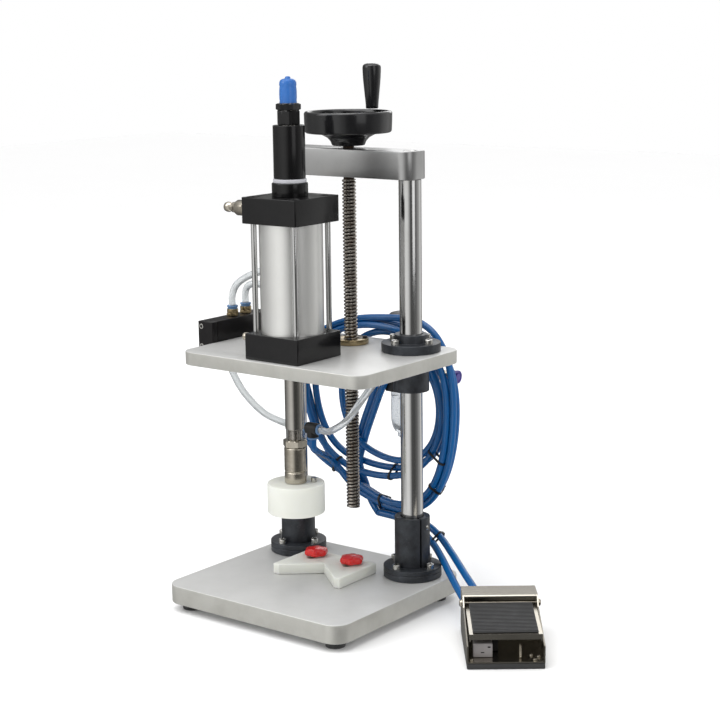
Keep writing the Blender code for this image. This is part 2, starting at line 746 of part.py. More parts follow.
def make_regulator():
    spot = (REGULATOR_X, REGULATOR_Y, 0.0)
    half = REGULATOR_HALF
    low = (REGULATOR_X - half, REGULATOR_Y - half, REGULATOR_BOTTOM)
    high = (REGULATOR_X + half, REGULATOR_Y + half, REGULATOR_TOP)
    body = box("regulator_body", "black_plastic", low, high, edge=0.003)
    neck = turned_object("neck", [(0.0, 0.2620), (0.0135, 0.2620), (0.0135, 0.2380), (0.0, 0.2380)], 24)
    neck.location = spot
    cut(body, neck, "UNION")
    arm = box_cutter(
        "arm", (REGULATOR_X - 0.012, LIFT_BACK + GAP, 0.2470), (REGULATOR_X + 0.012, REGULATOR_Y, 0.2515)
    )
    cut(body, arm, "UNION")
    foot = box_cutter(
        "foot", (REGULATOR_X - 0.016, LIFT_BACK + GAP, 0.2455), (REGULATOR_X + 0.016, LIFT_BACK + 0.0032, 0.2590)
    )
    cut(body, foot, "UNION")
    bowl = [
        (0.0, REGULATOR_BOTTOM - GAP),
        (0.0155, REGULATOR_BOTTOM - GAP),
        (0.0155, 0.1620),
        (0.0145, 0.1500),
        (0.0090, 0.1430),
        (0.0050, 0.1420),
        (0.0045, BOWL_BOTTOM),
        (0.0, BOWL_BOTTOM),
    ]
    turned("regulator_bowl", "clear_bowl", spot, bowl, sides=24)
    knob = [
        (0.0, 0.2860),
        (0.0150, 0.2860),
        (0.0165, 0.2845),
        (0.0170, 0.2680),
        (0.0160, 0.2640),
        (0.0, 0.2640),
    ]
    turned("regulator_knob", "black_plastic", spot, knob, sides=24)
    inlet = [
        (0.0, 0.0600),
        (0.0050, 0.0600),
        (0.0078, 0.0590),
        (0.0078, 0.0540),
        (0.0060, 0.0530),
        (0.0060, 0.0440),
        (0.0075, 0.0430),
        (0.0075, 0.0),
        (0.0, 0.0),
    ]
    place = (REGULATOR_X + half + GAP, REGULATOR_Y, PORT_Z)
    lay_along(turned("supply_fitting", "nickel", place, inlet, sides=16), (1, 0, 0))


def make_tee():
    """Three-way push-in fitting: its run lies along X and its branch points down."""
    run = [(0.0, 0.0100), (0.0068, 0.0100), (0.0068, -0.0100), (0.0, -0.0100)]
    tee = turned("hose_tee", "black_plastic", TEE, run, sides=16)
    lay_along(tee, (1, 0, 0))
    branch = turned_object("branch", [(0.0, 0.0), (0.0062, 0.0), (0.0062, -0.0120), (0.0, -0.0120)], 16)
    branch.location = TEE
    cut(tee, branch, "UNION")


COLUMN_OF_AIR_TOP = [  # from the valve's front fitting, up behind the barrel to the rear cap
    (VALVE_X, VALVE_PORTS_Y[0], VALVE_TOP + 0.0126),
    (VALVE_X, VALVE_PORTS_Y[0], 0.3070),
    (-0.1360, 0.0315, 0.3200),
    (-0.1200, 0.0325, 0.3310),
    (-0.0980, 0.0340, 0.3400),
    (-0.0780, 0.0370, 0.3560),
    (-0.0660, 0.0400, 0.3800),
    (-0.0600, 0.0400, 0.4020),
    (-0.0500, 0.0360, 0.4160),
    (-0.0370, 0.0280, 0.4200),
    (-0.0325, 0.0170, 0.4200),
    (-0.0325, 0.0082, 0.4200),
]

COLUMN_OF_AIR_LOW = [  # from the valve's back fitting, over and down to the front cap
    (VALVE_X, VALVE_PORTS_Y[1], VALVE_TOP + 0.0126),
    (VALVE_X, VALVE_PORTS_Y[1], 0.3070),
    (-0.1350, 0.0515, 0.3170),
    (-0.1140, 0.0470, 0.3210),
    (-0.0800, 0.0430, 0.3130),
    (-0.0480, 0.0430, 0.2980),
    (-0.0240, 0.0390, 0.2850),
    (-0.0090, 0.0270, 0.2765),
    (-0.0050, 0.0160, 0.2745),
    (-0.0050, 0.0082, 0.2745),
]
SUPPLY_FROM_VALVE = [
    (VALVE_X, 0.0200, VALVE_BOTTOM - GAP),
    (VALVE_X, 0.0200, 0.2360),
    (-0.1300, 0.0180, 0.2150),
    (-0.1120, 0.0160, 0.1960),
    (-0.0840, 0.0150, 0.1780),
    (-0.0540, 0.0160, 0.1700),
    (-0.0340, TEE[1], TEE[2]),
    (TEE[0] - 0.0103, TEE[1], TEE[2]),
]
SUPPLY_TO_REGULATOR = [
    (TEE[0] + 0.0103, TEE[1], TEE[2]),
    (0.0120, TEE[1], TEE[2]),
    (0.0280, 0.0260, 0.1810),
    (0.0400, 0.0380, 0.2030),
    (0.0450, 0.0560, 0.2210),
    (0.0420, 0.0800, 0.2290),
    (0.0310, 0.1020, 0.2260),
    (REGULATOR_X, 0.1220, PORT_Z),
    (REGULATOR_X, REGULATOR_Y - REGULATOR_HALF - GAP, PORT_Z),
]
PILOT_FROM_TEE = [
    (TEE[0], TEE[1], TEE[2] - 0.0123),
    (TEE[0], TEE[1], 0.1470),
    (-0.0170, 0.0290, 0.1390),
    (-0.0290, 0.0510, 0.1300),
    (-0.0430, 0.0750, 0.1210),
    (-0.0540, 0.0960, 0.1120),
    (-0.0570, 0.1100, 0.1020),
    (-0.0510, 0.1155, 0.0925),
    (-0.0430, 0.1160, 0.0840),
]
PILOT_FROM_VALVE = [
    (VALVE_X, VALVE_BACK + GAP, 0.2640),
    (VALVE_X, 0.0980, 0.2640),
    (-0.1420, 0.1140, 0.2500),
    (-0.1370, 0.1220, 0.2320),
    (-0.1270, 0.1250, 0.2150),
    (-0.1160, 0.1250, 0.2060),
]
TAIL_UPPER = [
    (0.0000, 0.1295, 0.0480),
    (0.0300, 0.1290, 0.0475),
    (0.0600, 0.1280, 0.0440),
    (0.0860, 0.1220, 0.0350),
    (0.1170, 0.1040, 0.0230),
    (0.1530, 0.0810, 0.0080),
    (0.1850, 0.0620, -0.0050),
    pedal_point(-0.009, PEDAL_LENGTH + 0.012, HOSE_ENTRY_Z),
    pedal_point(-0.009, PEDAL_LENGTH + GAP, HOSE_ENTRY_Z),
]
TAIL_LOWER = [
    (0.0000, 0.1205, 0.0480),
    (0.0300, 0.1200, 0.0465),
    (0.0580, 0.1190, 0.0405),
    (0.0820, 0.1120, 0.0300),
    (0.1080, 0.0960, 0.0190),
    (0.1400, 0.0720, 0.0050),
    (0.1690, 0.0520, -0.0070),
    pedal_point(-0.027, PEDAL_LENGTH + 0.012, HOSE_ENTRY_Z),
    pedal_point(-0.027, PEDAL_LENGTH + GAP, HOSE_ENTRY_Z),
]


def make_hoses():
    hose("air_hose_rear", "clear_hose", COLUMN_OF_AIR_TOP)
    hose("air_hose_front", "clear_hose", COLUMN_OF_AIR_LOW)
    hose("supply_hose_left", "clear_hose", SUPPLY_FROM_VALVE)
    hose("supply_hose_right", "clear_hose", SUPPLY_TO_REGULATOR)
    hose("pilot_hose_tee", "blue_hose", PILOT_FROM_TEE)
    hose("pilot_hose_valve", "blue_hose", PILOT_FROM_VALVE)
    hose("pedal_hose_upper", "blue_hose", TAIL_UPPER)
    hose("pedal_hose_lower", "blue_hose", TAIL_LOWER)
    coil = ring(
        "hose_coil", "blue_hose", COIL_CENTRE, COIL_OUTER, COIL_INNER, -COIL_HALF_DEPTH, COIL_HALF_DEPTH
    )
    lay_along(coil, (0, -1, 0))


# ---------------------------------------------------------------- locator on the base

def make_locator():
    outline = [
        (BLOCK_HALF, BLOCK_FRONT),
        (BLOCK_HALF, BLOCK_BACK),
        (-BLOCK_HALF, BLOCK_BACK),
        (-BLOCK_HALF, BLOCK_FRONT),
        (-0.0400, BLOCK_FRONT),
        (0.0, 0.0165),
        (0.0400, BLOCK_FRONT),
    ]
    slots = [slot_outline(x, KNOB_Y - 0.014, KNOB_Y + 0.006, 0.0044) for x in (-KNOB_X, KNOB_X)]
    plate("bottle_locator", "nylon", [outline] + slots, GAP, BLOCK_THICK, edge=0.0006)
    seat = GAP * 2 + BLOCK_THICK
    for side, x in (("left", -KNOB_X), ("right", KNOB_X)):
        knob = [
            (0.0, seat + 0.0095),
            (KNOB_RADIUS - 0.0035, seat + 0.0090),
            (KNOB_RADIUS, seat + 0.0065),
            (KNOB_RADIUS, seat + 0.0030),
            (KNOB_RADIUS - 0.0020, seat + 0.0018),
            (0.0068, seat + 0.0016),
            (0.0068, seat),
            (0.0040, seat),
            (0.0040, GAP),
            (0.0, GAP),
        ]
        turned(f"locator_knob_{side}", "red_plastic", (x, KNOB_Y, 0.0), knob, sides=24)


# ---------------------------------------------------------------- foot pedal

HINGE_Y = 0.0840
HINGE_Z = 0.0420
TREADLE_LENGTH = 0.0780
TREADLE_SLOPE = math.radians(4.5)


def place_on_pedal(obj, origin=(0.0, 0.0, 0.0)):
    obj.matrix_world = PEDAL @ Matrix.Translation(origin)
    return obj


def pedal_box(name, material, low, high, edge=0.0):
    obj = box(name, material, low, high, edge)
    return place_on_pedal(obj, [(a + b) / 2 for a, b in zip(low, high)])


def side_outline():
    """Side of the pedal's sheet housing, seen along its X: length, height."""
    return [
        (0.000, 0.0065),
        (PEDAL_LENGTH, 0.0065),
        (PEDAL_LENGTH, 0.0500),
        (0.0800, 0.0520),
        (0.0700, 0.0420),
        (0.0000, 0.0250),
    ]


def make_treadle():
    """The sloping plate under the foot and its rubber pad, in the treadle's own frame."""
    tilt = Matrix.Rotation(TREADLE_SLOPE, 4, "X")
    frame = PEDAL @ Matrix.Translation((0.0, 0.0020, 0.0370)) @ tilt
    half = PEDAL_WIDTH / 2 - PEDAL_SHEET - 0.0012
    low = (-half, 0.0, -0.0015)
    high = (half, TREADLE_LENGTH, 0.0)
    plate_box = box("treadle", "pedal_nickel", low, high)
    plate_box.matrix_world = frame @ Matrix.Translation(plate_box.location)
    for name, near, far in (
        ("treadle_lip", (-half, 0.0, -0.0060), (half, 0.0015, -0.0010)),
        ("treadle_left", (-half, 0.0, -0.0080), (-half + 0.0015, TREADLE_LENGTH, -0.0010)),
        ("treadle_right", (half - 0.0015, 0.0, -0.0080), (half, TREADLE_LENGTH, -0.0010)),
    ):
        fold = box_cutter(name, near, far)
        fold.matrix_world = frame @ Matrix.Translation(fold.location)
        cut(plate_box, fold, "UNION")
    pad = box("treadle_pad", "black_rubber", (-0.0335, 0.0030, GAP), (0.0335, 0.0740, 0.0026), edge=0.0006)
    pad.matrix_world = frame @ Matrix.Translation(pad.location)


def make_pedal():
    half = PEDAL_WIDTH / 2
    pedal_box("pedal_sole", "black_rubber", (-half, 0.0, 0.0), (half, PEDAL_LENGTH, 0.0060), edge=0.0010)
    mesh = bpy.data.meshes.new("pedal_housing")
    shape = bmesh.new()
    outline = side_outline()
    near = [shape.verts.new((-half, y, z)) for y, z in outline]
    shape.faces.new(near)
    solid = bmesh.ops.extrude_face_region(shape, geom=shape.faces[:])
    moved = [item for item in solid["geom"] if isinstance(item, bmesh.types.BMVert)]
    bmesh.ops.translate(shape, vec=(PEDAL_WIDTH, 0.0, 0.0), verts=moved)
    bmesh.ops.recalc_face_normals(shape, faces=shape.faces)
    shape.to_mesh(mesh)
    shape.free()
    housing = finish_object(bpy.data.objects.new("pedal_housing", mesh), "pedal_housing", "pedal_nickel")
    place_on_pedal(housing)
    inner = half - PEDAL_SHEET
    well = box_cutter(
        "pedal_well", (-inner, -0.010, 0.0065 + PEDAL_SHEET), (inner, PEDAL_LENGTH - PEDAL_SHEET, 0.0495)
    )
    well.matrix_world = PEDAL @ Matrix.Translation(well.location)
    cut(housing, well)
    mouth = box_cutter("pedal_mouth", (-inner, -0.010, 0.0200), (inner, 0.0790, 0.0700))
    mouth.matrix_world = PEDAL @ Matrix.Translation(mouth.location)
    cut(housing, mouth)
    pin_hole = turned_object("pin_hole", [(0.0, 0.05), (0.0028, 0.05), (0.0028, -0.05), (0.0, -0.05)], 12)
    across = Matrix.Rotation(math.radians(90), 4, "Y")
    pin_place = PEDAL @ Matrix.Translation((0.0, HINGE_Y, HINGE_Z)) @ across
    pin_hole.matrix_world = pin_place
    cut(housing, pin_hole)
    pedal_box("pedal_valve", "black_anodised", (-0.030, 0.030, 0.0083), (-0.006, 0.092, 0.0240), edge=0.0008)
    pin_profile = [
        (0.0, 0.0435),
        (0.0040, 0.0435),
        (0.0040, 0.0403),
        (0.0025, 0.0403),
        (0.0025, -0.0403),
        (0.0040, -0.0403),
        (0.0040, -0.0435),
        (0.0, -0.0435),
    ]
    pin = turned_object("pedal_pin", pin_profile, 12)
    finish_object(pin, "pedal_pin", "nickel")
    pin.matrix_world = pin_place
    make_treadle()


clear_scene()
make_base()
make_columns()
make_beam()
make_screw()
make_lift_plate()
make_cylinder()
make_piston()
make_port_fitting()
make_valve()
make_regulator()
make_tee()
make_hoses()
make_locator()
make_pedal()
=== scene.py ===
import math

import bmesh
import bpy
import numpy as np
from mathutils import Matrix, Vector


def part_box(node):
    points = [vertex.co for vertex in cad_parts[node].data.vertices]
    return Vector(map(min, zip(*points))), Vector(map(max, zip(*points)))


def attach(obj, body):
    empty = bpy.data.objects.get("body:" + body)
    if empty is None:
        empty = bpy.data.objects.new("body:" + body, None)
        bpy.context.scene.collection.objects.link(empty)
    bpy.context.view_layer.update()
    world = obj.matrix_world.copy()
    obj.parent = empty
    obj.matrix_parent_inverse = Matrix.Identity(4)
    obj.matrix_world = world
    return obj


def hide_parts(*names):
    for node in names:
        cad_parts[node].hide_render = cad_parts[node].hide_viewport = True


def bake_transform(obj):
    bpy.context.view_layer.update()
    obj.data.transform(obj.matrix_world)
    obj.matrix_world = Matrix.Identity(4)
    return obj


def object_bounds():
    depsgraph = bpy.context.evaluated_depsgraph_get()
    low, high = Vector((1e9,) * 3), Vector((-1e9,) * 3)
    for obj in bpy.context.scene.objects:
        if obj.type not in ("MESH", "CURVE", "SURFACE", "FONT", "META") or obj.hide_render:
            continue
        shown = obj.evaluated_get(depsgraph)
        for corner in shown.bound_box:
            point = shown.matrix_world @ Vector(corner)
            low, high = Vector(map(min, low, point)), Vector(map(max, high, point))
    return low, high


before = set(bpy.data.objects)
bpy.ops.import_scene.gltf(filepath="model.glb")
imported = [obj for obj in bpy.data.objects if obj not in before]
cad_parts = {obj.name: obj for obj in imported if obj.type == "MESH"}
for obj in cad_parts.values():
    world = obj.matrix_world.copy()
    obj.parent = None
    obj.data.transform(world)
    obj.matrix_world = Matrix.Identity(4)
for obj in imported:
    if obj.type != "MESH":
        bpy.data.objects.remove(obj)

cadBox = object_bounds()
print("frame loaded:", len(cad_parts), "parts")


# ---- small mesh tools, all in metres in the frame's own axes

def hexagon(angle):  # scales a circle to a hexagon with its corners on the circle
    return math.cos(math.pi / 6) / math.cos(angle % (math.pi / 3) - math.pi / 6)


def latheMesh(name, profile, sides=72, closed=False, scale=None):
    # profile runs down the outside as (radius, height) or (radius, height, shape)
    mesh = bpy.data.meshes.new(name)
    shape = bmesh.new()
    rings = []
    for point in profile:
        radius, height = point[:2]
        warp = point[2] if len(point) > 2 else scale
        if radius < 1e-7:
            rings.append([shape.verts.new((0, 0, height))])
            continue
        ring = []
        for side in range(sides):
            angle = math.tau * side / sides
            reach = radius * (warp(angle) if warp else 1.0)
            ring.append(shape.verts.new((reach * math.cos(angle), reach * math.sin(angle), height)))
        rings.append(ring)
    pairs = list(zip(rings, rings[1:]))
    if closed:
        pairs.append((rings[-1], rings[0]))
    for upper, lower in pairs:
        for side in range(sides):
            after = (side + 1) % sides
            corners = [upper[side % len(upper)], lower[side % len(lower)]]
            if len(lower) > 1:
                corners.append(lower[after])
            if len(upper) > 1:
                corners.append(upper[after])
            if len(corners) > 2:
                shape.faces.new(corners)
    bmesh.ops.recalc_face_normals(shape, faces=shape.faces)
    shape.to_mesh(mesh)
    shape.free()
    return mesh


def softCorners(profile, edge=0.0005, closed=False):
    # each corner of a turned outline becomes a small arc that catches the light
    points = [Vector(p[:2]) for p in profile]
    out = []
    for i, here in enumerate(points):
        if not closed and i in (0, len(points) - 1):
            out.append(tuple(here))
            continue
        before, after = points[i - 1], points[(i + 1) % len(points)]
        back, ahead = before - here, after - here
        reach = min(edge, back.length * 0.45, ahead.length * 0.45)
        a, b = here + back.normalized() * reach, here + ahead.normalized() * reach
        for t in (0.0, 0.33, 0.67, 1.0):
            out.append(tuple(a * (1 - t) ** 2 + here * 2 * t * (1 - t) + b * t ** 2))
    return out


def roundRect(low, high, radius, steps=10):
    points = []
    corners = [
        (high[0] - radius, low[1] + radius, -90),
        (high[0] - radius, high[1] - radius, 0),
        (low[0] + radius, high[1] - radius, 90),
        (low[0] + radius, low[1] + radius, 180),
    ]
    for x, y, start in corners:
        for step in range(steps + 1):
            angle = math.radians(start + 90 * step / steps)
            points.append((x + radius * math.cos(angle), y + radius * math.sin(angle)))
    return points


def circle(x, y, radius, sides=48):
    return [
        (x + radius * math.cos(-math.tau * i / sides), y + radius * math.sin(-math.tau * i / sides))
        for i in range(sides)
    ]


def slabMesh(name, outlines, low, high, edge=0.0006, steps=3):
    # a plate from its outline and holes, with its rims rounded
    curve = bpy.data.curves.new(name, "CURVE")
    curve.dimensions = "2D"
    curve.fill_mode = "BOTH"
    curve.extrude = (high - low) / 2
    for outline in outlines:
        spline = curve.splines.new("POLY")
        spline.points.add(len(outline) - 1)
        spline.use_cyclic_u = True
        for point, (x, y) in zip(spline.points, outline):
            point.co = (x, y, 0.0, 1.0)
    holder = bpy.data.objects.new(name, curve)
    bpy.context.scene.collection.objects.link(holder)
    bpy.context.view_layer.update()
    mesh = bpy.data.meshes.new_from_object(holder.evaluated_get(bpy.context.evaluated_depsgraph_get()))
    mesh.materials.clear()
    bpy.data.objects.remove(holder, do_unlink=True)
    shape = bmesh.new()
    shape.from_mesh(mesh)
    bmesh.ops.remove_doubles(shape, verts=shape.verts, dist=0.00001)
    bmesh.ops.dissolve_limit(shape, angle_limit=0.01, verts=shape.verts, edges=shape.edges)
    if edge:
        rims = [e for e in shape.edges if len(e.link_faces) == 2 and e.calc_face_angle(0.0) > 1.2]
        bmesh.ops.bevel(shape, geom=rims, offset=edge, segments=steps, affect="EDGES", profile=0.5)
    bmesh.ops.translate(shape, vec=(0, 0, (low + high) / 2), verts=shape.verts)
    bmesh.ops.recalc_face_normals(shape, faces=shape.faces)
    shape.to_mesh(mesh)
    shape.free()
    return mesh


def boxMesh(name, low, high, edge=0.0006, steps=3):
    mesh = bpy.data.meshes.new(name)
    shape = bmesh.new()
    bmesh.ops.create_cube(shape, size=1.0)
    for vert in shape.verts:
        vert.co = Vector([(a + b) / 2 + c * (b - a) for a, b, c in zip(low, high, vert.co)])
    if edge:
        bmesh.ops.bevel(
            shape, geom=shape.edges[:], offset=edge, segments=steps, affect="EDGES", profile=0.5
        )
    shape.to_mesh(mesh)
    shape.free()
    return mesh


def joined(name, parts):
    # parts are (mesh, matrix) or (mesh, matrix, material number)
    whole = bmesh.new()
    for part in parts:
        mesh, place = part[0], part[1]
        copy = mesh.copy()
        copy.transform(place if isinstance(place, Matrix) else Matrix.Translation(place))
        count = len(whole.faces)
        whole.from_mesh(copy)
        whole.faces.ensure_lookup_table()
        for face in whole.faces[count:]:
            face.material_index = part[2] if len(part) > 2 else 0
        bpy.data.meshes.remove(copy)
    result = bpy.data.meshes.new(name)
    whole.to_mesh(result)
    whole.free()
    return result


def pointing(direction, place=(0, 0, 0)):  # stands something made along +Z up along the direction
    return Matrix.Translation(place) @ Vector(direction).to_track_quat("Z", "Y").to_matrix().to_4x4()


def addPiece(name, mesh, body, materials, place=None, replaces=(), slot=None, sharp=32.0):
    obj = bpy.data.objects.new(name, mesh)
    bpy.context.scene.collection.objects.link(obj)
    if place is not None:
        obj.matrix_world = place if isinstance(place, Matrix) else Matrix.Translation(place)
    for material in materials:
        mesh.materials.append(material)
    mesh.shade_smooth()
    mesh.set_sharp_from_angle(angle=math.radians(sharp))
    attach(obj, body)
    if replaces:
        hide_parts(*replaces)
    return obj


def centreOf(node):
    low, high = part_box(node)
    return (low + high) / 2


def smoothLine(route, step):
    # evenly spaced points along a smooth curve through the route's points
    route = [Vector(point) for point in route]
    ends = [route[0] * 2 - route[1]] + route + [route[-1] * 2 - route[-2]]
    dense = []
    for a, b, c, d in zip(ends, ends[1:], ends[2:], ends[3:]):
        for part in range(16):
            t = part / 16
            dense.append(
                0.5 * (2 * b + (c - a) * t + (2 * a - 5 * b + 4 * c - d) * t ** 2
                       + (3 * b - a - 3 * c + d) * t ** 3)
            )
    dense.append(route[-1])
    line = np.array(dense)
    along = np.concatenate([[0], np.cumsum(np.linalg.norm(np.diff(line, axis=0), axis=1))])
    at = np.linspace(0, along[-1], max(3, round(along[-1] / step)) + 1)
    return np.stack([np.interp(at, along, line[:, k]) for k in range(3)], axis=1)


def lineLength(line):
    return float(np.linalg.norm(np.diff(line, axis=0), axis=1).sum())


# ---- materials: each one's nodes are laid out in labelled frames

def layOut(material, groups):
    nodes = material.node_tree.nodes
    for column, (label, members) in enumerate(groups.items()):
        around = nodes.new("NodeFrame")
        around.label = label
        for row, node in enumerate(members):
            node.parent = around
            node.location = (column * 320 - 900 + 30 * row, 300 - row * 220)


def machinedMetal(name, look):
    # bare metal: turned, brushed, ground or plated
    mat = bpy.data.materials.new(name)
    mat.use_nodes = True
    nodes, links = mat.node_tree.nodes, mat.node_tree.links
    nodes.clear()
    surface = nodes.new("ShaderNodeBsdfPrincipled")
    surface.label = "bare metal"
    surface.inputs["Metallic"].default_value = look.get("metallic", 1.0)
    output = nodes.new("ShaderNodeOutputMaterial")
    output.label = "to the piece"
    coords = nodes.new("ShaderNodeTexCoord")
    coords.label = "the piece's own axes"
    alongTool = nodes.new("ShaderNodeMapping")
    alongTool.label = "stretch along the tool marks"
    alongTool.inputs["Scale"].default_value = look["lines"]
    toolMarks = nodes.new("ShaderNodeTexNoise")
    toolMarks.label = "tool marks"
    toolMarks.inputs["Scale"].default_value = 1.0
    toolMarks.inputs["Detail"].default_value = 4.0
    blotches = nodes.new("ShaderNodeTexNoise")
    blotches.label = "handling and oil film"
    blotches.inputs["Scale"].default_value = look.get("blotch", 45.0)
    blotches.inputs["Detail"].default_value = 5.0
    blotches.inputs["Roughness"].default_value = 0.6
    marksRoughness = nodes.new("ShaderNodeMapRange")
    marksRoughness.label = "marks spread the shine"
    marksRoughness.inputs["To Min"].default_value = look["roughness"] - look["spread"]
    marksRoughness.inputs["To Max"].default_value = look["roughness"] + look["spread"]
    filmTint = nodes.new("ShaderNodeMix")
    filmTint.label = "film darkens the metal"
    filmTint.data_type = "RGBA"
    filmTint.inputs["A"].default_value = (*look["colour"], 1)
    filmTint.inputs["B"].default_value = (*look["film"], 1)
    filmAmount = nodes.new("ShaderNodeMapRange")
    filmAmount.label = "where the film lies"
    filmAmount.inputs["From Min"].default_value = 0.42
    filmAmount.inputs["From Max"].default_value = 0.72
    filmAmount.inputs["To Max"].default_value = look.get("filmShare", 0.7)
    bump = nodes.new("ShaderNodeBump")
    bump.label = "marks in relief"
    bump.inputs["Strength"].default_value = look.get("relief", 0.05)
    bump.inputs["Distance"].default_value = 0.0002
    links.new(coords.outputs["Object"], alongTool.inputs["Vector"])
    links.new(alongTool.outputs["Vector"], toolMarks.inputs["Vector"])
    links.new(coords.outputs["Object"], blotches.inputs["Vector"])
    links.new(toolMarks.outputs["Fac"], marksRoughness.inputs["Value"])
    links.new(marksRoughness.outputs["Result"], surface.inputs["Roughness"])
    links.new(blotches.outputs["Fac"], filmAmount.inputs["Value"])
    links.new(filmAmount.outputs["Result"], filmTint.inputs["Factor"])
    links.new(filmTint.outputs["Result"], surface.inputs["Base Color"])
    links.new(toolMarks.outputs["Fac"], bump.inputs["Height"])
    links.new(bump.outputs["Normal"], surface.inputs["Normal"])
    links.new(surface.outputs["BSDF"], output.inputs["Surface"])
    layOut(mat, {
        "tool marks": [coords, alongTool, toolMarks],
        "shine": [marksRoughness, bump],
        "oil film": [blotches, filmAmount, filmTint],
        "metal": [surface, output],
    })
    return mat


def coatedMetal(name, look):
    # paint, black oxide or anodising over metal, with a fine grain and small worn specks
    mat = bpy.data.materials.new(name)
    mat.use_nodes = True
    nodes, links = mat.node_tree.nodes, mat.node_tree.links
    nodes.clear()
    surface = nodes.new("ShaderNodeBsdfPrincipled")
    surface.label = "coating"
    surface.inputs["Metallic"].default_value = look["metallic"]
    surface.inputs["Specular IOR Level"].default_value = look.get("specular", 0.5)
    surface.inputs["Coat Weight"].default_value = look.get("gloss", 0.0)
    surface.inputs["Coat Roughness"].default_value = 0.12
    output = nodes.new("ShaderNodeOutputMaterial")
    output.label = "to the piece"
    coords = nodes.new("ShaderNodeTexCoord")
    coords.label = "the piece's own axes"
    grain = nodes.new("ShaderNodeTexNoise")
    grain.label = "grain of the coating"
    grain.inputs["Scale"].default_value = look["grain"]
    grain.inputs["Detail"].default_value = 3.0
    cloud = nodes.new("ShaderNodeTexNoise")
    cloud.label = "uneven bath or spray"
    cloud.inputs["Scale"].default_value = look.get("cloud", 28.0)
    cloud.inputs["Detail"].default_value = 6.0
    cloud.inputs["Roughness"].default_value = 0.62
    specks = nodes.new("ShaderNodeTexVoronoi")
    specks.label = "tiny worn specks"
    specks.inputs["Scale"].default_value = look.get("specks", 260.0)
    speckMask = nodes.new("ShaderNodeMapRange")
    speckMask.label = "only the middle of each speck"
    speckMask.inputs["From Min"].default_value = 0.16
    speckMask.inputs["From Max"].default_value = 0.06
    speckMask.inputs["To Max"].default_value = look.get("speckShare", 0.25)
    cloudMask = nodes.new("ShaderNodeMapRange")
    cloudMask.label = "soft clouds"
    cloudMask.inputs["From Min"].default_value = 0.35
    cloudMask.inputs["From Max"].default_value = 0.68
    cloudTint = nodes.new("ShaderNodeMix")
    cloudTint.label = "light and dark of the coat"
    cloudTint.data_type = "RGBA"
    cloudTint.inputs["A"].default_value = (*look["colour"], 1)
    cloudTint.inputs["B"].default_value = (*look["shade"], 1)
    speckTint = nodes.new("ShaderNodeMix")
    speckTint.label = "metal shows in the specks"
    speckTint.data_type = "RGBA"
    speckTint.inputs["B"].default_value = (*look.get("worn", look["colour"]), 1)
    sheen = nodes.new("ShaderNodeMapRange")
    sheen.label = "clouds change the shine"
    sheen.inputs["To Min"].default_value = look["roughness"] - look["spread"]
    sheen.inputs["To Max"].default_value = look["roughness"] + look["spread"]
    bump = nodes.new("ShaderNodeBump")
    bump.label = "grain in relief"
    bump.inputs["Strength"].default_value = look.get("relief", 0.12)
    bump.inputs["Distance"].default_value = 0.0003
    links.new(coords.outputs["Object"], grain.inputs["Vector"])
    links.new(coords.outputs["Object"], cloud.inputs["Vector"])
    links.new(coords.outputs["Object"], specks.inputs["Vector"])
    links.new(specks.outputs["Distance"], speckMask.inputs["Value"])
    links.new(cloud.outputs["Fac"], cloudMask.inputs["Value"])
    links.new(cloudMask.outputs["Result"], cloudTint.inputs["Factor"])
    links.new(cloudTint.outputs["Result"], speckTint.inputs["A"])
    links.new(speckMask.outputs["Result"], speckTint.inputs["Factor"])
    links.new(speckTint.outputs["Result"], surface.inputs["Base Color"])
    links.new(cloud.outputs["Fac"], sheen.inputs["Value"])
    links.new(sheen.outputs["Result"], surface.inputs["Roughness"])
    links.new(grain.outputs["Fac"], bump.inputs["Height"])
    links.new(bump.outputs["Normal"], surface.inputs["Normal"])
    links.new(surface.outputs["BSDF"], output.inputs["Surface"])
    layOut(mat, {
        "patterns": [coords, grain, cloud, specks],
        "masks": [cloudMask, speckMask, sheen],
        "colours": [cloudTint, speckTint, bump],
        "coating": [surface, output],
    })
    return mat


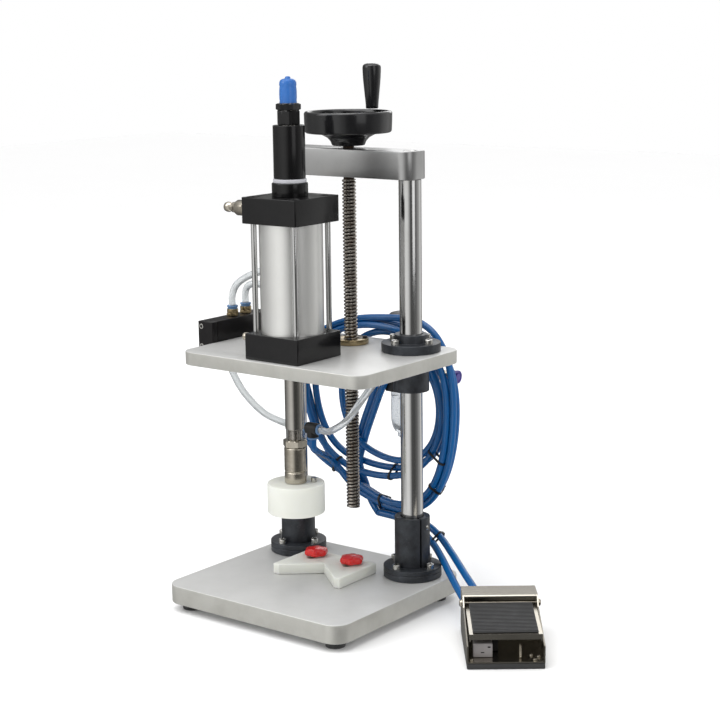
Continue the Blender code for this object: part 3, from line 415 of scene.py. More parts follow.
def mouldedPlastic(name, look):
    # plastics and rubbers, from glossy phenolic to milky nylon and clear tube
    mat = bpy.data.materials.new(name)
    mat.use_nodes = True
    nodes, links = mat.node_tree.nodes, mat.node_tree.links
    nodes.clear()
    surface = nodes.new("ShaderNodeBsdfPrincipled")
    surface.label = "moulded body"
    surface.inputs["IOR"].default_value = look.get("ior", 1.5)
    surface.inputs["Transmission Weight"].default_value = look.get("clear", 0.0)
    surface.inputs["Subsurface Weight"].default_value = look.get("milky", 0.0)
    surface.inputs["Subsurface Radius"].default_value = (1.0, 1.0, 0.9)
    surface.inputs["Subsurface Scale"].default_value = 0.006
    surface.inputs["Coat Weight"].default_value = look.get("gloss", 0.0)
    surface.inputs["Coat Roughness"].default_value = 0.06
    surface.inputs["Sheen Weight"].default_value = look.get("dusty", 0.0)
    output = nodes.new("ShaderNodeOutputMaterial")
    output.label = "to the piece"
    coords = nodes.new("ShaderNodeTexCoord")
    coords.label = "the piece's own axes"
    flow = nodes.new("ShaderNodeTexNoise")
    flow.label = "flow marks"
    flow.inputs["Scale"].default_value = look.get("flow", 60.0)
    flow.inputs["Detail"].default_value = 4.0
    skin = nodes.new("ShaderNodeTexNoise")
    skin.label = "skin of the mould"
    skin.inputs["Scale"].default_value = look.get("skin", 1400.0)
    skin.inputs["Detail"].default_value = 2.0
    tone = nodes.new("ShaderNodeMix")
    tone.label = "light and dark of the plastic"
    tone.data_type = "RGBA"
    tone.inputs["A"].default_value = (*look["colour"], 1)
    tone.inputs["B"].default_value = (*look["shade"], 1)
    shine = nodes.new("ShaderNodeMapRange")
    shine.label = "handled places shine"
    shine.inputs["From Min"].default_value = 0.3
    shine.inputs["From Max"].default_value = 0.7
    shine.inputs["To Min"].default_value = look["roughness"] * 0.8
    shine.inputs["To Max"].default_value = look["roughness"] * 1.25
    bump = nodes.new("ShaderNodeBump")
    bump.label = "skin in relief"
    bump.inputs["Strength"].default_value = look.get("relief", 0.05)
    bump.inputs["Distance"].default_value = 0.0002
    links.new(coords.outputs["Object"], flow.inputs["Vector"])
    links.new(coords.outputs["Object"], skin.inputs["Vector"])
    links.new(flow.outputs["Fac"], tone.inputs["Factor"])
    links.new(tone.outputs["Result"], surface.inputs["Base Color"])
    links.new(flow.outputs["Fac"], shine.inputs["Value"])
    links.new(shine.outputs["Result"], surface.inputs["Roughness"])
    links.new(skin.outputs["Fac"], bump.inputs["Height"])
    links.new(bump.outputs["Normal"], surface.inputs["Normal"])
    links.new(surface.outputs["BSDF"], output.inputs["Surface"])
    layOut(mat, {
        "patterns": [coords, flow, skin],
        "colour and shine": [tone, shine, bump],
        "body": [surface, output],
    })
    return mat


def rolledThread(name, look):
    # screw steel: painted shade darkens the thread roots and the crests stay bright worn steel, told apart by
    # the distance from the axis
    mat = bpy.data.materials.new(name)
    mat.use_nodes = True
    nodes, links = mat.node_tree.nodes, mat.node_tree.links
    nodes.clear()
    surface = nodes.new("ShaderNodeBsdfPrincipled")
    surface.label = "screw steel"
    surface.inputs["Metallic"].default_value = 1.0
    output = nodes.new("ShaderNodeOutputMaterial")
    output.label = "to the piece"
    coords = nodes.new("ShaderNodeTexCoord")
    coords.label = "the screw's own axes"
    acrossOnly = nodes.new("ShaderNodeMapping")
    acrossOnly.label = "drop the height"
    acrossOnly.inputs["Scale"].default_value = (1, 1, 0)
    fromAxis = nodes.new("ShaderNodeVectorMath")
    fromAxis.label = "distance from the axis"
    fromAxis.operation = "LENGTH"
    crest = nodes.new("ShaderNodeMapRange")
    crest.label = "root to crest"
    crest.inputs["From Min"].default_value = look["root"]
    crest.inputs["From Max"].default_value = look["crest"]
    grime = nodes.new("ShaderNodeTexNoise")
    grime.label = "dried oil"
    grime.inputs["Scale"].default_value = 120.0
    grime.inputs["Detail"].default_value = 6.0
    tone = nodes.new("ShaderNodeMix")
    tone.label = "painted root shade and crest colours"
    tone.data_type = "RGBA"
    # the dark colour is painted shade for the thread roots, the bright one the bare steel of the crests
    tone.inputs["A"].default_value = (*look["dark"], 1)
    tone.inputs["B"].default_value = (*look["bright"], 1)
    grimeTint = nodes.new("ShaderNodeMix")
    grimeTint.label = "brown of the oil"
    grimeTint.data_type = "RGBA"
    grimeTint.inputs["B"].default_value = (*look["oil"], 1)
    grimeShare = nodes.new("ShaderNodeMapRange")
    grimeShare.label = "how much oil is left"
    grimeShare.inputs["From Min"].default_value = 0.4
    grimeShare.inputs["From Max"].default_value = 0.75
    grimeShare.inputs["To Max"].default_value = 0.6
    shine = nodes.new("ShaderNodeMapRange")
    shine.label = "crests are smoother"
    shine.inputs["To Min"].default_value = 0.5
    shine.inputs["To Max"].default_value = 0.24
    links.new(coords.outputs["Object"], acrossOnly.inputs["Vector"])
    links.new(acrossOnly.outputs["Vector"], fromAxis.inputs[0])
    links.new(fromAxis.outputs["Value"], crest.inputs["Value"])
    links.new(coords.outputs["Object"], grime.inputs["Vector"])
    links.new(crest.outputs["Result"], tone.inputs["Factor"])
    links.new(tone.outputs["Result"], grimeTint.inputs["A"])
    links.new(grime.outputs["Fac"], grimeShare.inputs["Value"])
    links.new(grimeShare.outputs["Result"], grimeTint.inputs["Factor"])
    links.new(grimeTint.outputs["Result"], surface.inputs["Base Color"])
    links.new(crest.outputs["Result"], shine.inputs["Value"])
    links.new(shine.outputs["Result"], surface.inputs["Roughness"])
    links.new(surface.outputs["BSDF"], output.inputs["Surface"])
    layOut(mat, {
        "root and crest": [coords, acrossOnly, fromAxis, crest],
        "oil": [grime, grimeShare],
        "colour and shine": [tone, grimeTint, shine],
        "steel": [surface, output],
    })
    return mat


finishes = {
    "plateTop": coatedMetal("plateTop", {
        "colour": (0.62, 0.62, 0.61), "shade": (0.56, 0.56, 0.55), "worn": (0.74, 0.74, 0.73),
        "metallic": 0.25, "roughness": 0.40, "spread": 0.05, "grain": 900.0, "cloud": 14.0,
        "specks": 420.0, "speckShare": 0.12, "relief": 0.10,
    }),
    "plateSide": machinedMetal("plateSide", {
        "colour": (0.56, 0.555, 0.52), "film": (0.44, 0.435, 0.40), "roughness": 0.42, "spread": 0.08,
        "metallic": 0.55, "lines": (30, 30, 900), "relief": 0.08, "blotch": 30.0,
    }),
    "blackOxide": coatedMetal("blackOxide", {
        "colour": (0.060, 0.066, 0.076), "shade": (0.028, 0.030, 0.034), "worn": (0.20, 0.20, 0.21),
        "metallic": 0.55, "roughness": 0.42, "spread": 0.10, "grain": 600.0, "cloud": 55.0,
        "specks": 330.0, "speckShare": 0.30, "relief": 0.15,
    }),
    "blackAnodised": coatedMetal("blackAnodised", {
        "colour": (0.009, 0.0075, 0.008), "shade": (0.005, 0.0045, 0.005), "worn": (0.03, 0.03, 0.03),
        "metallic": 0.0, "specular": 0.22, "roughness": 0.33, "spread": 0.06, "grain": 1500.0, "cloud": 40.0,
        "specks": 500.0, "speckShare": 0.15, "relief": 0.10, "gloss": 0.10,
    }),
    "glossAnodised": coatedMetal("glossAnodised", {
        "colour": (0.006, 0.0055, 0.006), "shade": (0.004, 0.004, 0.0045), "worn": (0.02, 0.02, 0.02),
        "metallic": 0.0, "specular": 0.30, "roughness": 0.20, "spread": 0.05, "grain": 1800.0, "cloud": 60.0,
        "specks": 600.0, "speckShare": 0.10, "relief": 0.04, "gloss": 0.20,
    }),
    "columnChrome": machinedMetal("columnChrome", {
        "colour": (0.66, 0.66, 0.66), "film": (0.56, 0.55, 0.53), "roughness": 0.14, "spread": 0.04,
        "lines": (20, 20, 2600), "relief": 0.03, "blotch": 22.0, "filmShare": 0.5,
    }),
    "rodChrome": machinedMetal("rodChrome", {
        "colour": (0.50, 0.48, 0.45), "film": (0.36, 0.34, 0.31), "roughness": 0.17, "spread": 0.05,
        "lines": (20, 20, 2600), "relief": 0.02, "blotch": 22.0, "filmShare": 0.5,
    }),
    "switchGrey": mouldedPlastic("switchGrey", {
        "colour": (0.34, 0.32, 0.32), "shade": (0.28, 0.26, 0.26), "roughness": 0.45,
    }),
    "beamBrushed": machinedMetal("beamBrushed", {
        "colour": (0.50, 0.50, 0.50), "film": (0.40, 0.40, 0.40), "roughness": 0.34, "spread": 0.08,
        "lines": (14, 900, 900), "relief": 0.12, "blotch": 26.0,
    }),
    "barrelSatin": machinedMetal("barrelSatin", {
        "colour": (0.84, 0.84, 0.82), "film": (0.77, 0.76, 0.74), "roughness": 0.34, "spread": 0.02,
        "lines": (300, 300, 4), "relief": 0.004, "blotch": 20.0, "filmShare": 0.4, "metallic": 0.85,
    }),
    "steelBright": machinedMetal("steelBright", {
        "colour": (0.66, 0.65, 0.62), "film": (0.40, 0.38, 0.35), "roughness": 0.22, "spread": 0.07,
        "lines": (500, 500, 60), "relief": 0.06, "blotch": 160.0,
    }),
    "brassTurned": machinedMetal("brassTurned", {
        "colour": (0.42, 0.33, 0.19), "film": (0.22, 0.17, 0.10), "roughness": 0.28, "spread": 0.08,
        "lines": (60, 60, 1600), "relief": 0.06, "blotch": 110.0,
    }),
    "nickelTurned": machinedMetal("nickelTurned", {
        "colour": (0.52, 0.48, 0.41), "film": (0.34, 0.30, 0.24), "roughness": 0.24, "spread": 0.07,
        "lines": (40, 40, 1800), "relief": 0.06, "blotch": 70.0,
    }),
    "pedalSheet": machinedMetal("pedalSheet", {
        "colour": (0.50, 0.47, 0.41), "film": (0.38, 0.35, 0.30), "roughness": 0.25, "spread": 0.04,
        "lines": (600, 600, 600), "relief": 0.01, "blotch": 30.0, "filmShare": 0.5,
    }),
    "phenolic": mouldedPlastic("phenolic", {
        "colour": (0.007, 0.007, 0.008), "shade": (0.010, 0.010, 0.011), "roughness": 0.18, "gloss": 0.25,
        "relief": 0.03,
    }),
    "nylonMilky": mouldedPlastic("nylonMilky", {
        "colour": (0.80, 0.81, 0.76), "shade": (0.75, 0.76, 0.70), "roughness": 0.38, "milky": 0.65,
        "relief": 0.06, "skin": 700.0,
    }),
    "vinylBlue": mouldedPlastic("vinylBlue", {
        "colour": (0.028, 0.160, 0.50), "shade": (0.020, 0.120, 0.42), "roughness": 0.34, "gloss": 0.15,
        "milky": 0.05,
    }),
    "urethane": mouldedPlastic("urethane", {
        "colour": (0.60, 0.60, 0.63), "shade": (0.50, 0.50, 0.54), "roughness": 0.30, "milky": 0.2,
    }),
    "starRed": mouldedPlastic("starRed", {
        "colour": (0.74, 0.018, 0.016), "shade": (0.60, 0.012, 0.012), "roughness": 0.28, "gloss": 0.25,
        "milky": 0.08,
    }),
    "rubberBlack": mouldedPlastic("rubberBlack", {
        "colour": (0.026, 0.026, 0.027), "shade": (0.040, 0.040, 0.041), "roughness": 0.70, "relief": 0.20,
        "dusty": 0.10,
    }),
    "plasticBlack": mouldedPlastic("plasticBlack", {
        "colour": (0.010, 0.010, 0.011), "shade": (0.015, 0.015, 0.016), "roughness": 0.36, "relief": 0.12,
    }),
    "collarBlue": mouldedPlastic("collarBlue", {
        "colour": (0.13, 0.26, 0.48), "shade": (0.10, 0.20, 0.38), "roughness": 0.35,
    }),
    "collarViolet": mouldedPlastic("collarViolet", {
        "colour": (0.070, 0.050, 0.300), "shade": (0.050, 0.035, 0.220), "roughness": 0.32, "gloss": 0.3,
    }),
    "clearBowl": mouldedPlastic("clearBowl", {
        "colour": (0.74, 0.77, 0.80), "shade": (0.64, 0.67, 0.70), "roughness": 0.10, "clear": 0.75,
        "ior": 1.35, "relief": 0.02,
    }),
    "clearTube": mouldedPlastic("clearTube", {
        "colour": (0.80, 0.82, 0.83), "shade": (0.72, 0.75, 0.76), "roughness": 0.16, "clear": 0.62,
        "milky": 0.0, "ior": 1.28, "relief": 0.02,
    }),
    "blueTube": mouldedPlastic("blueTube", {
        "colour": (0.002, 0.130, 0.40), "shade": (0.001, 0.095, 0.31), "roughness": 0.22, "clear": 0.10,
        "gloss": 0.3, "relief": 0.03, "flow": 25.0,
    }),
    "threadOiled": rolledThread("threadOiled", {
        # dark is painted shade in the thread roots; oil is the brown of the dried oil blotches
        "root": 0.0062, "crest": 0.0077, "dark": (0.045, 0.040, 0.038), "bright": (0.46, 0.43, 0.39),
        "oil": (0.16, 0.105, 0.07),
    }),
}
print("finishes made:", len(finishes))


# ---- camera, floor and studio light

camera = {
    "lens": 86.107, "place": (1.18766, -1.44460, 0.62290),
    "turn": 37.76, "tilt": -11.25, "roll": -0.73,
}
eye = bpy.data.objects.new("camera", bpy.data.cameras.new("camera"))
bpy.context.scene.collection.objects.link(eye)
eye.data.lens = camera["lens"]
eye.data.sensor_width = 36.0
eye.data.clip_end = 30.0
eye.matrix_world = (
    Matrix.Translation(camera["place"])
    @ Matrix.Rotation(math.radians(camera["turn"]), 4, "Z")
    @ Matrix.Rotation(math.radians(90 + camera["tilt"]), 4, "X")
    @ Matrix.Rotation(math.radians(camera["roll"]), 4, "Z")
)
bpy.context.scene.camera = eye
bpy.context.scene.view_settings.view_transform = "Standard"

floorZ = cadBox[0].z


def paperFloor():
    mat = bpy.data.materials.new("paperFloor")
    mat.use_nodes = True
    nodes, links = mat.node_tree.nodes, mat.node_tree.links
    nodes.clear()
    surface = nodes.new("ShaderNodeBsdfPrincipled")
    surface.label = "white paper"
    surface.inputs["Specular IOR Level"].default_value = 0.2
    surface.inputs["Roughness"].default_value = 0.7
    output = nodes.new("ShaderNodeOutputMaterial")
    output.label = "to the floor"
    fibre = nodes.new("ShaderNodeTexNoise")
    fibre.label = "paper fibre"
    fibre.inputs["Scale"].default_value = 40.0
    tone = nodes.new("ShaderNodeMix")
    tone.label = "faint tone of the paper"
    tone.data_type = "RGBA"
    tone.inputs["A"].default_value = (0.97, 0.97, 0.97, 1)
    tone.inputs["B"].default_value = (0.955, 0.955, 0.955, 1)
    links.new(fibre.outputs["Fac"], tone.inputs["Factor"])
    links.new(tone.outputs["Result"], surface.inputs["Base Color"])
    links.new(surface.outputs["BSDF"], output.inputs["Surface"])
    layOut(mat, {"fibre": [fibre, tone], "paper": [surface, output]})
    return mat


floorMesh = bpy.data.meshes.new("floor")
reach = 6.0
floorMesh.from_pydata(
    [(-reach, -reach, floorZ), (reach, -reach, floorZ), (reach, reach, floorZ), (-reach, reach, floorZ)],
    [], [(0, 1, 2, 3)],
)
floorMesh.materials.append(paperFloor())
floor = bpy.data.objects.new("floor", floorMesh)
floor.visible_glossy = False
bpy.context.scene.collection.objects.link(floor)

world = bpy.data.worlds.new("studio")
bpy.context.scene.world = world
world.use_nodes = True
sky = world.node_tree.nodes
sky.clear()
room = sky.new("ShaderNodeBackground")
room.label = "soft room seen in the metal"
seen = sky.new("ShaderNodeBackground")
seen.label = "white backdrop"
seen.inputs["Color"].default_value = (1, 1, 1, 1)
seen.inputs["Strength"].default_value = 1.0
choose = sky.new("ShaderNodeMixShader")
choose.label = "backdrop straight ahead, room elsewhere"
path = sky.new("ShaderNodeLightPath")
path.label = "seen directly"
around = sky.new("ShaderNodeTexCoord")
around.label = "direction"
axes = sky.new("ShaderNodeSeparateXYZ")
axes.label = "direction split into axes"
bearing = sky.new("ShaderNodeMath")
bearing.label = "bearing round the machine"
bearing.operation = "ARCTAN2"
turn = sky.new("ShaderNodeMapRange")
turn.label = "bearing as nought to one"
turn.inputs["From Min"].default_value = -math.pi
turn.inputs["From Max"].default_value = math.pi
panels = sky.new("ShaderNodeValToRGB")
panels.label = "light panels and the dark between them"
panels.color_ramp.interpolation = "EASE"
stops = [  # bearing in degrees from +X towards +Y, brightness
    (-180, 0.24), (-150, 0.50), (-122, 0.85), (-98, 1.15), (-80, 1.05), (-66, 0.60), (-52, 0.12), (-25, 0.10),
    (0, 0.18), (30, 0.45), (58, 0.95), (74, 0.90), (95, 0.40), (120, 0.22), (150, 0.20), (180, 0.24),
]
ramp = panels.color_ramp
for number, (bearingDegrees, bright) in enumerate(stops):
    place = (bearingDegrees + 180) / 360
    if number < 2:
        stop = ramp.elements[number]
        stop.position = place
    else:
        stop = ramp.elements.new(place)
    stop.color = (bright, bright, bright * 0.985, 1)
height = sky.new("ShaderNodeMapRange")
height.label = "ceiling stays bright"
height.inputs["From Min"].default_value = 0.35
height.inputs["From Max"].default_value = 0.80
ceiling = sky.new("ShaderNodeMix")
ceiling.label = "panels round, ceiling above"
ceiling.data_type = "RGBA"
ceiling.inputs["B"].default_value = (0.95, 0.95, 0.95, 1)
evenLight = sky.new("ShaderNodeBackground")
evenLight.label = "even light on matt surfaces"
evenLight.inputs["Color"].default_value = (1, 1, 1, 1)
evenLight.inputs["Strength"].default_value = 0.62
chooseShine = sky.new("ShaderNodeMixShader")
chooseShine.label = "panels only in reflections"
skyOut = sky.new("ShaderNodeOutputWorld")
skyOut.label = "to the studio"
join = world.node_tree.links
join.new(around.outputs["Generated"], axes.inputs["Vector"])
join.new(axes.outputs["Y"], bearing.inputs[0])
join.new(axes.outputs["X"], bearing.inputs[1])
join.new(bearing.outputs["Value"], turn.inputs["Value"])
join.new(turn.outputs["Result"], panels.inputs["Fac"])
join.new(axes.outputs["Z"], height.inputs["Value"])
join.new(height.outputs["Result"], ceiling.inputs["Factor"])
join.new(panels.outputs["Color"], ceiling.inputs["A"])
join.new(ceiling.outputs["Result"], room.inputs["Color"])
join.new(path.outputs["Is Glossy Ray"], chooseShine.inputs["Fac"])
join.new(evenLight.outputs["Background"], chooseShine.inputs[1])
join.new(room.outputs["Background"], chooseShine.inputs[2])
join.new(path.outputs["Is Camera Ray"], choose.inputs["Fac"])
join.new(chooseShine.outputs["Shader"], choose.inputs[1])
join.new(seen.outputs["Background"], choose.inputs[2])
join.new(choose.outputs["Shader"], skyOut.inputs["Surface"])
room.inputs["Strength"].default_value = 0.80
layOut(world, {
    "direction": [around, axes, bearing, turn],
    "panels and ceiling": [panels, height, ceiling, room],
    "matt surfaces": [evenLight, path, chooseShine],
    "backdrop": [seen, choose, skyOut],
})

sun = bpy.data.lights.new("softSun", "SUN")
sun.energy = 1.5
sun.angle = math.radians(60)
sunHolder = bpy.data.objects.new("softSun", sun)
bpy.context.scene.collection.objects.link(sunHolder)
sunHolder.rotation_euler = (math.radians(18), math.radians(-10), 0)

lamps = [  # name, place, aim, width, height, watts
    ("keyLeft", (-1.1, -1.5, 1.5), (0.0, 0.0, 0.25), 1.2, 1.2, 9.0),
    ("fillRight", (2.0, -0.6, 1.0), (0.0, 0.0, 0.2), 1.0, 1.6, 5.0),
    ("overhead", (0.1, 0.1, 2.1), (0.0, 0.0, 0.0), 1.6, 1.6, 8.0),
    ("backRim", (-0.7, 1.8, 1.1), (0.0, 0.0, 0.3), 1.2, 0.9, 6.0),
]
for name, place, aim, width, height, watts in lamps:
    lamp = bpy.data.lights.new(name, "AREA")
    lamp.shape = "RECTANGLE"
    lamp.size, lamp.size_y, lamp.energy = width, height, watts
    holder = bpy.data.objects.new(name, lamp)
    bpy.context.scene.collection.objects.link(holder)
    holder.location = place
    holder.rotation_euler = (Vector(aim) - Vector(place)).to_track_quat("-Z", "Y").to_euler()
print("camera, floor and lamps set")


# ---- hoses: routes are the same points as the solid tubes follow

hoseSize = {"diameter": 0.008}
valveX = centreOf("air_valve").x
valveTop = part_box("air_valve")[1].z
teeLow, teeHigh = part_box("hose_tee")
tee = Vector(((teeLow.x + teeHigh.x) / 2, (teeLow.y + teeHigh.y) / 2, 0.1690))
pedalTurn = math.radians(37.5)
pedalFrame = Matrix.Translation((0.2865, -0.0445, floorZ)) @ Matrix.Rotation(pedalTurn, 4, "Z")


def onPedal(x, y, z):
    return tuple(pedalFrame @ Vector((x, y, z)))


pedalLength, hoseEntry = 0.116, 0.0204
airHoseRear = [
    (valveX, 0.0306, valveTop + 0.0126), (valveX, 0.0306, 0.3070), (-0.1360, 0.0315, 0.3200),
    (-0.1200, 0.0325, 0.3310), (-0.0980, 0.0340, 0.3400), (-0.0780, 0.0370, 0.3560),
    (-0.0660, 0.0400, 0.3800), (-0.0600, 0.0400, 0.4020), (-0.0500, 0.0360, 0.4160),
    (-0.0370, 0.0280, 0.4200), (-0.0325, 0.0170, 0.4200), (-0.0325, 0.0082, 0.4200),
]
airHoseFront = [
    (valveX, 0.0537, valveTop + 0.0126), (valveX, 0.0537, 0.3070), (-0.1350, 0.0515, 0.3170),
    (-0.1140, 0.0470, 0.3210), (-0.0800, 0.0430, 0.3130), (-0.0480, 0.0430, 0.2980),
    (-0.0240, 0.0390, 0.2850), (-0.0090, 0.0270, 0.2765), (-0.0050, 0.0160, 0.2745),
    (-0.0050, 0.0082, 0.2745),
]
supplyHoseLeft = [
    (valveX, 0.0200, 0.2483), (valveX, 0.0200, 0.2360), (-0.1300, 0.0180, 0.2150),
    (-0.1120, 0.0160, 0.1960), (-0.0840, 0.0150, 0.1780), (-0.0540, 0.0160, 0.1700),
    (-0.0340, 0.0160, 0.1690), (-0.0223, 0.0160, 0.1690),
]
supplyHoseRight = [
    (-0.0017, 0.0160, 0.1690), (0.0120, 0.0160, 0.1690), (0.0280, 0.0260, 0.1810),
    (0.0400, 0.0380, 0.2030), (0.0450, 0.0560, 0.2210), (0.0420, 0.0800, 0.2290),
    (0.0310, 0.1020, 0.2260), (0.0160, 0.1220, 0.2170), (0.0160, 0.1347, 0.2170),
]
pilotFromTee = [
    (-0.0120, 0.0160, 0.1567), (-0.0120, 0.0160, 0.1470), (-0.0170, 0.0290, 0.1390),
    (-0.0290, 0.0510, 0.1300), (-0.0430, 0.0750, 0.1210), (-0.0540, 0.0960, 0.1120),
    (-0.0570, 0.1100, 0.1020), (-0.0510, 0.1155, 0.0925), (-0.0430, 0.1160, 0.0840),
]
pilotFromValve = [
    (valveX, 0.0853, 0.2640), (valveX, 0.0980, 0.2640), (-0.1420, 0.1140, 0.2500),
    (-0.1370, 0.1220, 0.2320), (-0.1270, 0.1250, 0.2150), (-0.1160, 0.1250, 0.2060),
]
tailUpper = [
    (0.0000, 0.1295, 0.0480), (0.0300, 0.1290, 0.0475), (0.0600, 0.1280, 0.0440),
    (0.0860, 0.1220, 0.0350), (0.1170, 0.1040, 0.0230), (0.1530, 0.0810, 0.0080),
    (0.1850, 0.0620, -0.0050), onPedal(-0.009, pedalLength + 0.012, hoseEntry),
    onPedal(-0.009, pedalLength + 0.0003, hoseEntry),
]
tailLower = [
    (0.0000, 0.1205, 0.0480), (0.0300, 0.1200, 0.0465), (0.0580, 0.1190, 0.0405),
    (0.0820, 0.1120, 0.0300), (0.1080, 0.0960, 0.0190), (0.1400, 0.0720, 0.0050),
    (0.1690, 0.0520, -0.0070), onPedal(-0.027, pedalLength + 0.012, hoseEntry),
    onPedal(-0.027, pedalLength + 0.0003, hoseEntry),
]


def tubeMesh(name, line, radius, sides=16):
    # a round tube with closed ends; each ring turns with the line without twisting
    shape = bmesh.new()
    points = [Vector(p) for p in line]
    side = Vector((0.0, 0.0, 1.0))
    rings = []
    for i, here in enumerate(points):
        ahead = (points[min(i + 1, len(points) - 1)] - points[max(i - 1, 0)]).normalized()
        side = side - ahead * side.dot(ahead)
        if side.length < 1e-4:
            side = ahead.orthogonal()
        side.normalize()
        other = ahead.cross(side)
        rings.append([
            shape.verts.new(here + radius * (math.cos(math.tau * k / sides) * side
                                             + math.sin(math.tau * k / sides) * other))
            for k in range(sides)
        ])
    for a, b in zip(rings, rings[1:]):
        for k in range(sides):
            shape.faces.new([a[k], a[(k + 1) % sides], b[(k + 1) % sides], b[k]])
    shape.faces.new(rings[0][::-1])
    shape.faces.new(rings[-1])
    bmesh.ops.recalc_face_normals(shape, faces=shape.faces)
    mesh = bpy.data.meshes.new(name)
    shape.to_mesh(mesh)
    shape.free()
    return mesh


def layHose(name, line, finish, body, node, slot="blue_hose"):
    piece = addPiece(
        name, tubeMesh(name, line, hoseSize["diameter"] / 2), body, [finish], replaces=(node,), slot=slot
    )
    tuple(line[0])
    round(lineLength(line), 3)
    [tuple(p) for p in line]
    return piece


for name, route, finish, node in (
    ("clearHoseRear", airHoseRear, "clearTube", "air_hose_rear"),
    ("clearHoseFront", airHoseFront, "clearTube", "air_hose_front"),
    ("clearSupplyLeft", supplyHoseLeft, "clearTube", "supply_hose_left"),
    ("clearSupplyRight", supplyHoseRight, "clearTube", "supply_hose_right"),
    ("pilotTee", pilotFromTee, "blueTube", "pilot_hose_tee"),
    ("pilotValve", pilotFromValve, "blueTube", "pilot_hose_valve"),
):
    slotName = "clear_hose" if finish == "clearTube" else "blue_hose"
    layHose(name, smoothLine(route, 0.004), finishes[finish], "carriage", node, slot=slotName)

# the two pedal hoses hang in three loose turns each; a turn is (x, z) points, bottom first, right side up
coilPlane = {"front": 0.1195, "step": 0.0036, "room": 0.0081}
bowlRoom = {"x": 0.016, "half": 0.022, "low": 0.190, "high": 0.262, "back": 0.1315}  # left to the regulator
teeTurns = [
    [(-0.020, 0.070), (0.010, 0.058), (0.048, 0.060), (0.080, 0.084), (0.094, 0.122), (0.100, 0.165),
     (0.099, 0.215), (0.083, 0.254), (0.045, 0.268), (0.005, 0.276), (-0.035, 0.271), (-0.078, 0.255),
     (-0.106, 0.225), (-0.111, 0.185), (-0.102, 0.148), (-0.085, 0.116), (-0.058, 0.098)],
    [(-0.028, 0.091), (0.000, 0.089), (0.030, 0.094), (0.060, 0.106), (0.080, 0.134), (0.092, 0.165),
     (0.088, 0.200), (0.074, 0.235), (0.045, 0.264), (0.005, 0.270), (-0.033, 0.257), (-0.054, 0.225),
     (-0.061, 0.190), (-0.057, 0.162), (-0.045, 0.134)],
    [(-0.022, 0.116), (0.003, 0.109), (0.030, 0.108), (0.055, 0.115), (0.074, 0.138), (0.083, 0.170),
     (0.079, 0.205), (0.062, 0.236), (0.036, 0.243), (0.014, 0.228), (0.000, 0.200), (-0.011, 0.174),
     (-0.022, 0.150), (-0.034, 0.126), (-0.041, 0.101), (-0.038, 0.078), (-0.025, 0.060)],
]
valveTurns = [
    [(-0.110, 0.186), (-0.104, 0.152), (-0.090, 0.121), (-0.064, 0.094), (-0.030, 0.072), (0.008, 0.056),
     (0.050, 0.054), (0.084, 0.078), (0.099, 0.120), (0.106, 0.170), (0.106, 0.220), (0.092, 0.266),
     (0.058, 0.290), (0.022, 0.281), (-0.018, 0.282), (-0.066, 0.268), (-0.110, 0.243), (-0.129, 0.200),
     (-0.128, 0.150), (-0.108, 0.112), (-0.080, 0.097)],
    [(-0.046, 0.080), (-0.010, 0.064), (0.030, 0.051), (0.066, 0.065), (0.091, 0.096), (0.102, 0.140),
     (0.107, 0.185), (0.101, 0.233), (0.082, 0.262), (0.048, 0.270), (0.010, 0.279), (-0.028, 0.276),
     (-0.070, 0.259), (-0.099, 0.230), (-0.106, 0.190), (-0.099, 0.154), (-0.080, 0.122), (-0.054, 0.103)],
    [(-0.026, 0.101), (0.004, 0.098), (0.034, 0.101), (0.064, 0.114), (0.085, 0.142), (0.095, 0.175),
     (0.091, 0.212), (0.072, 0.240), (0.042, 0.250), (0.012, 0.238), (-0.006, 0.212), (-0.019, 0.184),
     (-0.031, 0.158), (-0.042, 0.132), (-0.050, 0.106), (-0.047, 0.082), (-0.031, 0.062)],
]


def windHose(turns, start, finish, firstLayer):
    route = [start]
    for number, turn in enumerate(turns):
        y = coilPlane["front"] + coilPlane["step"] * (firstLayer + 2 * number)
        route += [(x, y, z) for x, z in turn]
    return smoothLine(route + [finish], 0.006)


def settle(lines, ends, rounds=90):
    # pushes strands apart until none is nearer than a diameter, mostly front to back, then smooths them
    points = np.concatenate(lines)
    count = [len(line) for line in lines]
    owner = np.repeat(np.arange(len(lines)), count)
    number = np.arange(len(points))
    near = (np.abs(number[:, None] - number[None, :]) < 6) & (owner[:, None] == owner[None, :])
    fixed = np.zeros(len(points), bool)
    first = 0
    for size in count:
        fixed[[first, first + 1, first + size - 2, first + size - 1]] = True
        first += size
    for _ in range(rounds):
        gap = points[:, None, :] - points[None, :, :]
        apart = np.sqrt((gap ** 2).sum(2)) + 1e-9
        push = np.where((apart < coilPlane["room"]) & ~near, (coilPlane["room"] - apart) / apart, 0.0)
        gap[:, :, 1] += np.where(push > 0, np.sign(number[:, None] - number[None, :]) * 0.0006, 0)
        move = (push[:, :, None] * gap * (0.45, 0.9, 0.45)).sum(1) * 0.5
        points[~fixed] += np.clip(move[~fixed], -0.0012, 0.0012)
        first = 0
        for size in count:
            part = points[first:first + size]
            part[2:-2] += 0.12 * (part[1:-3] + part[3:-1] - 2 * part[2:-2])
            first += size
        points[~fixed, 1] = np.maximum(points[~fixed, 1], ends["front"])
        level = (points[:, 2] > bowlRoom["low"]) & (points[:, 2] < bowlRoom["high"])
        aside = (np.abs(points[:, 0] - bowlRoom["x"]) < bowlRoom["half"]) & level
        points[aside, 1] = np.minimum(points[aside, 1], bowlRoom["back"])
        points[~fixed, 1] = np.minimum(points[~fixed, 1], ends["back"])
    return np.split(points, np.cumsum(count)[:-1])


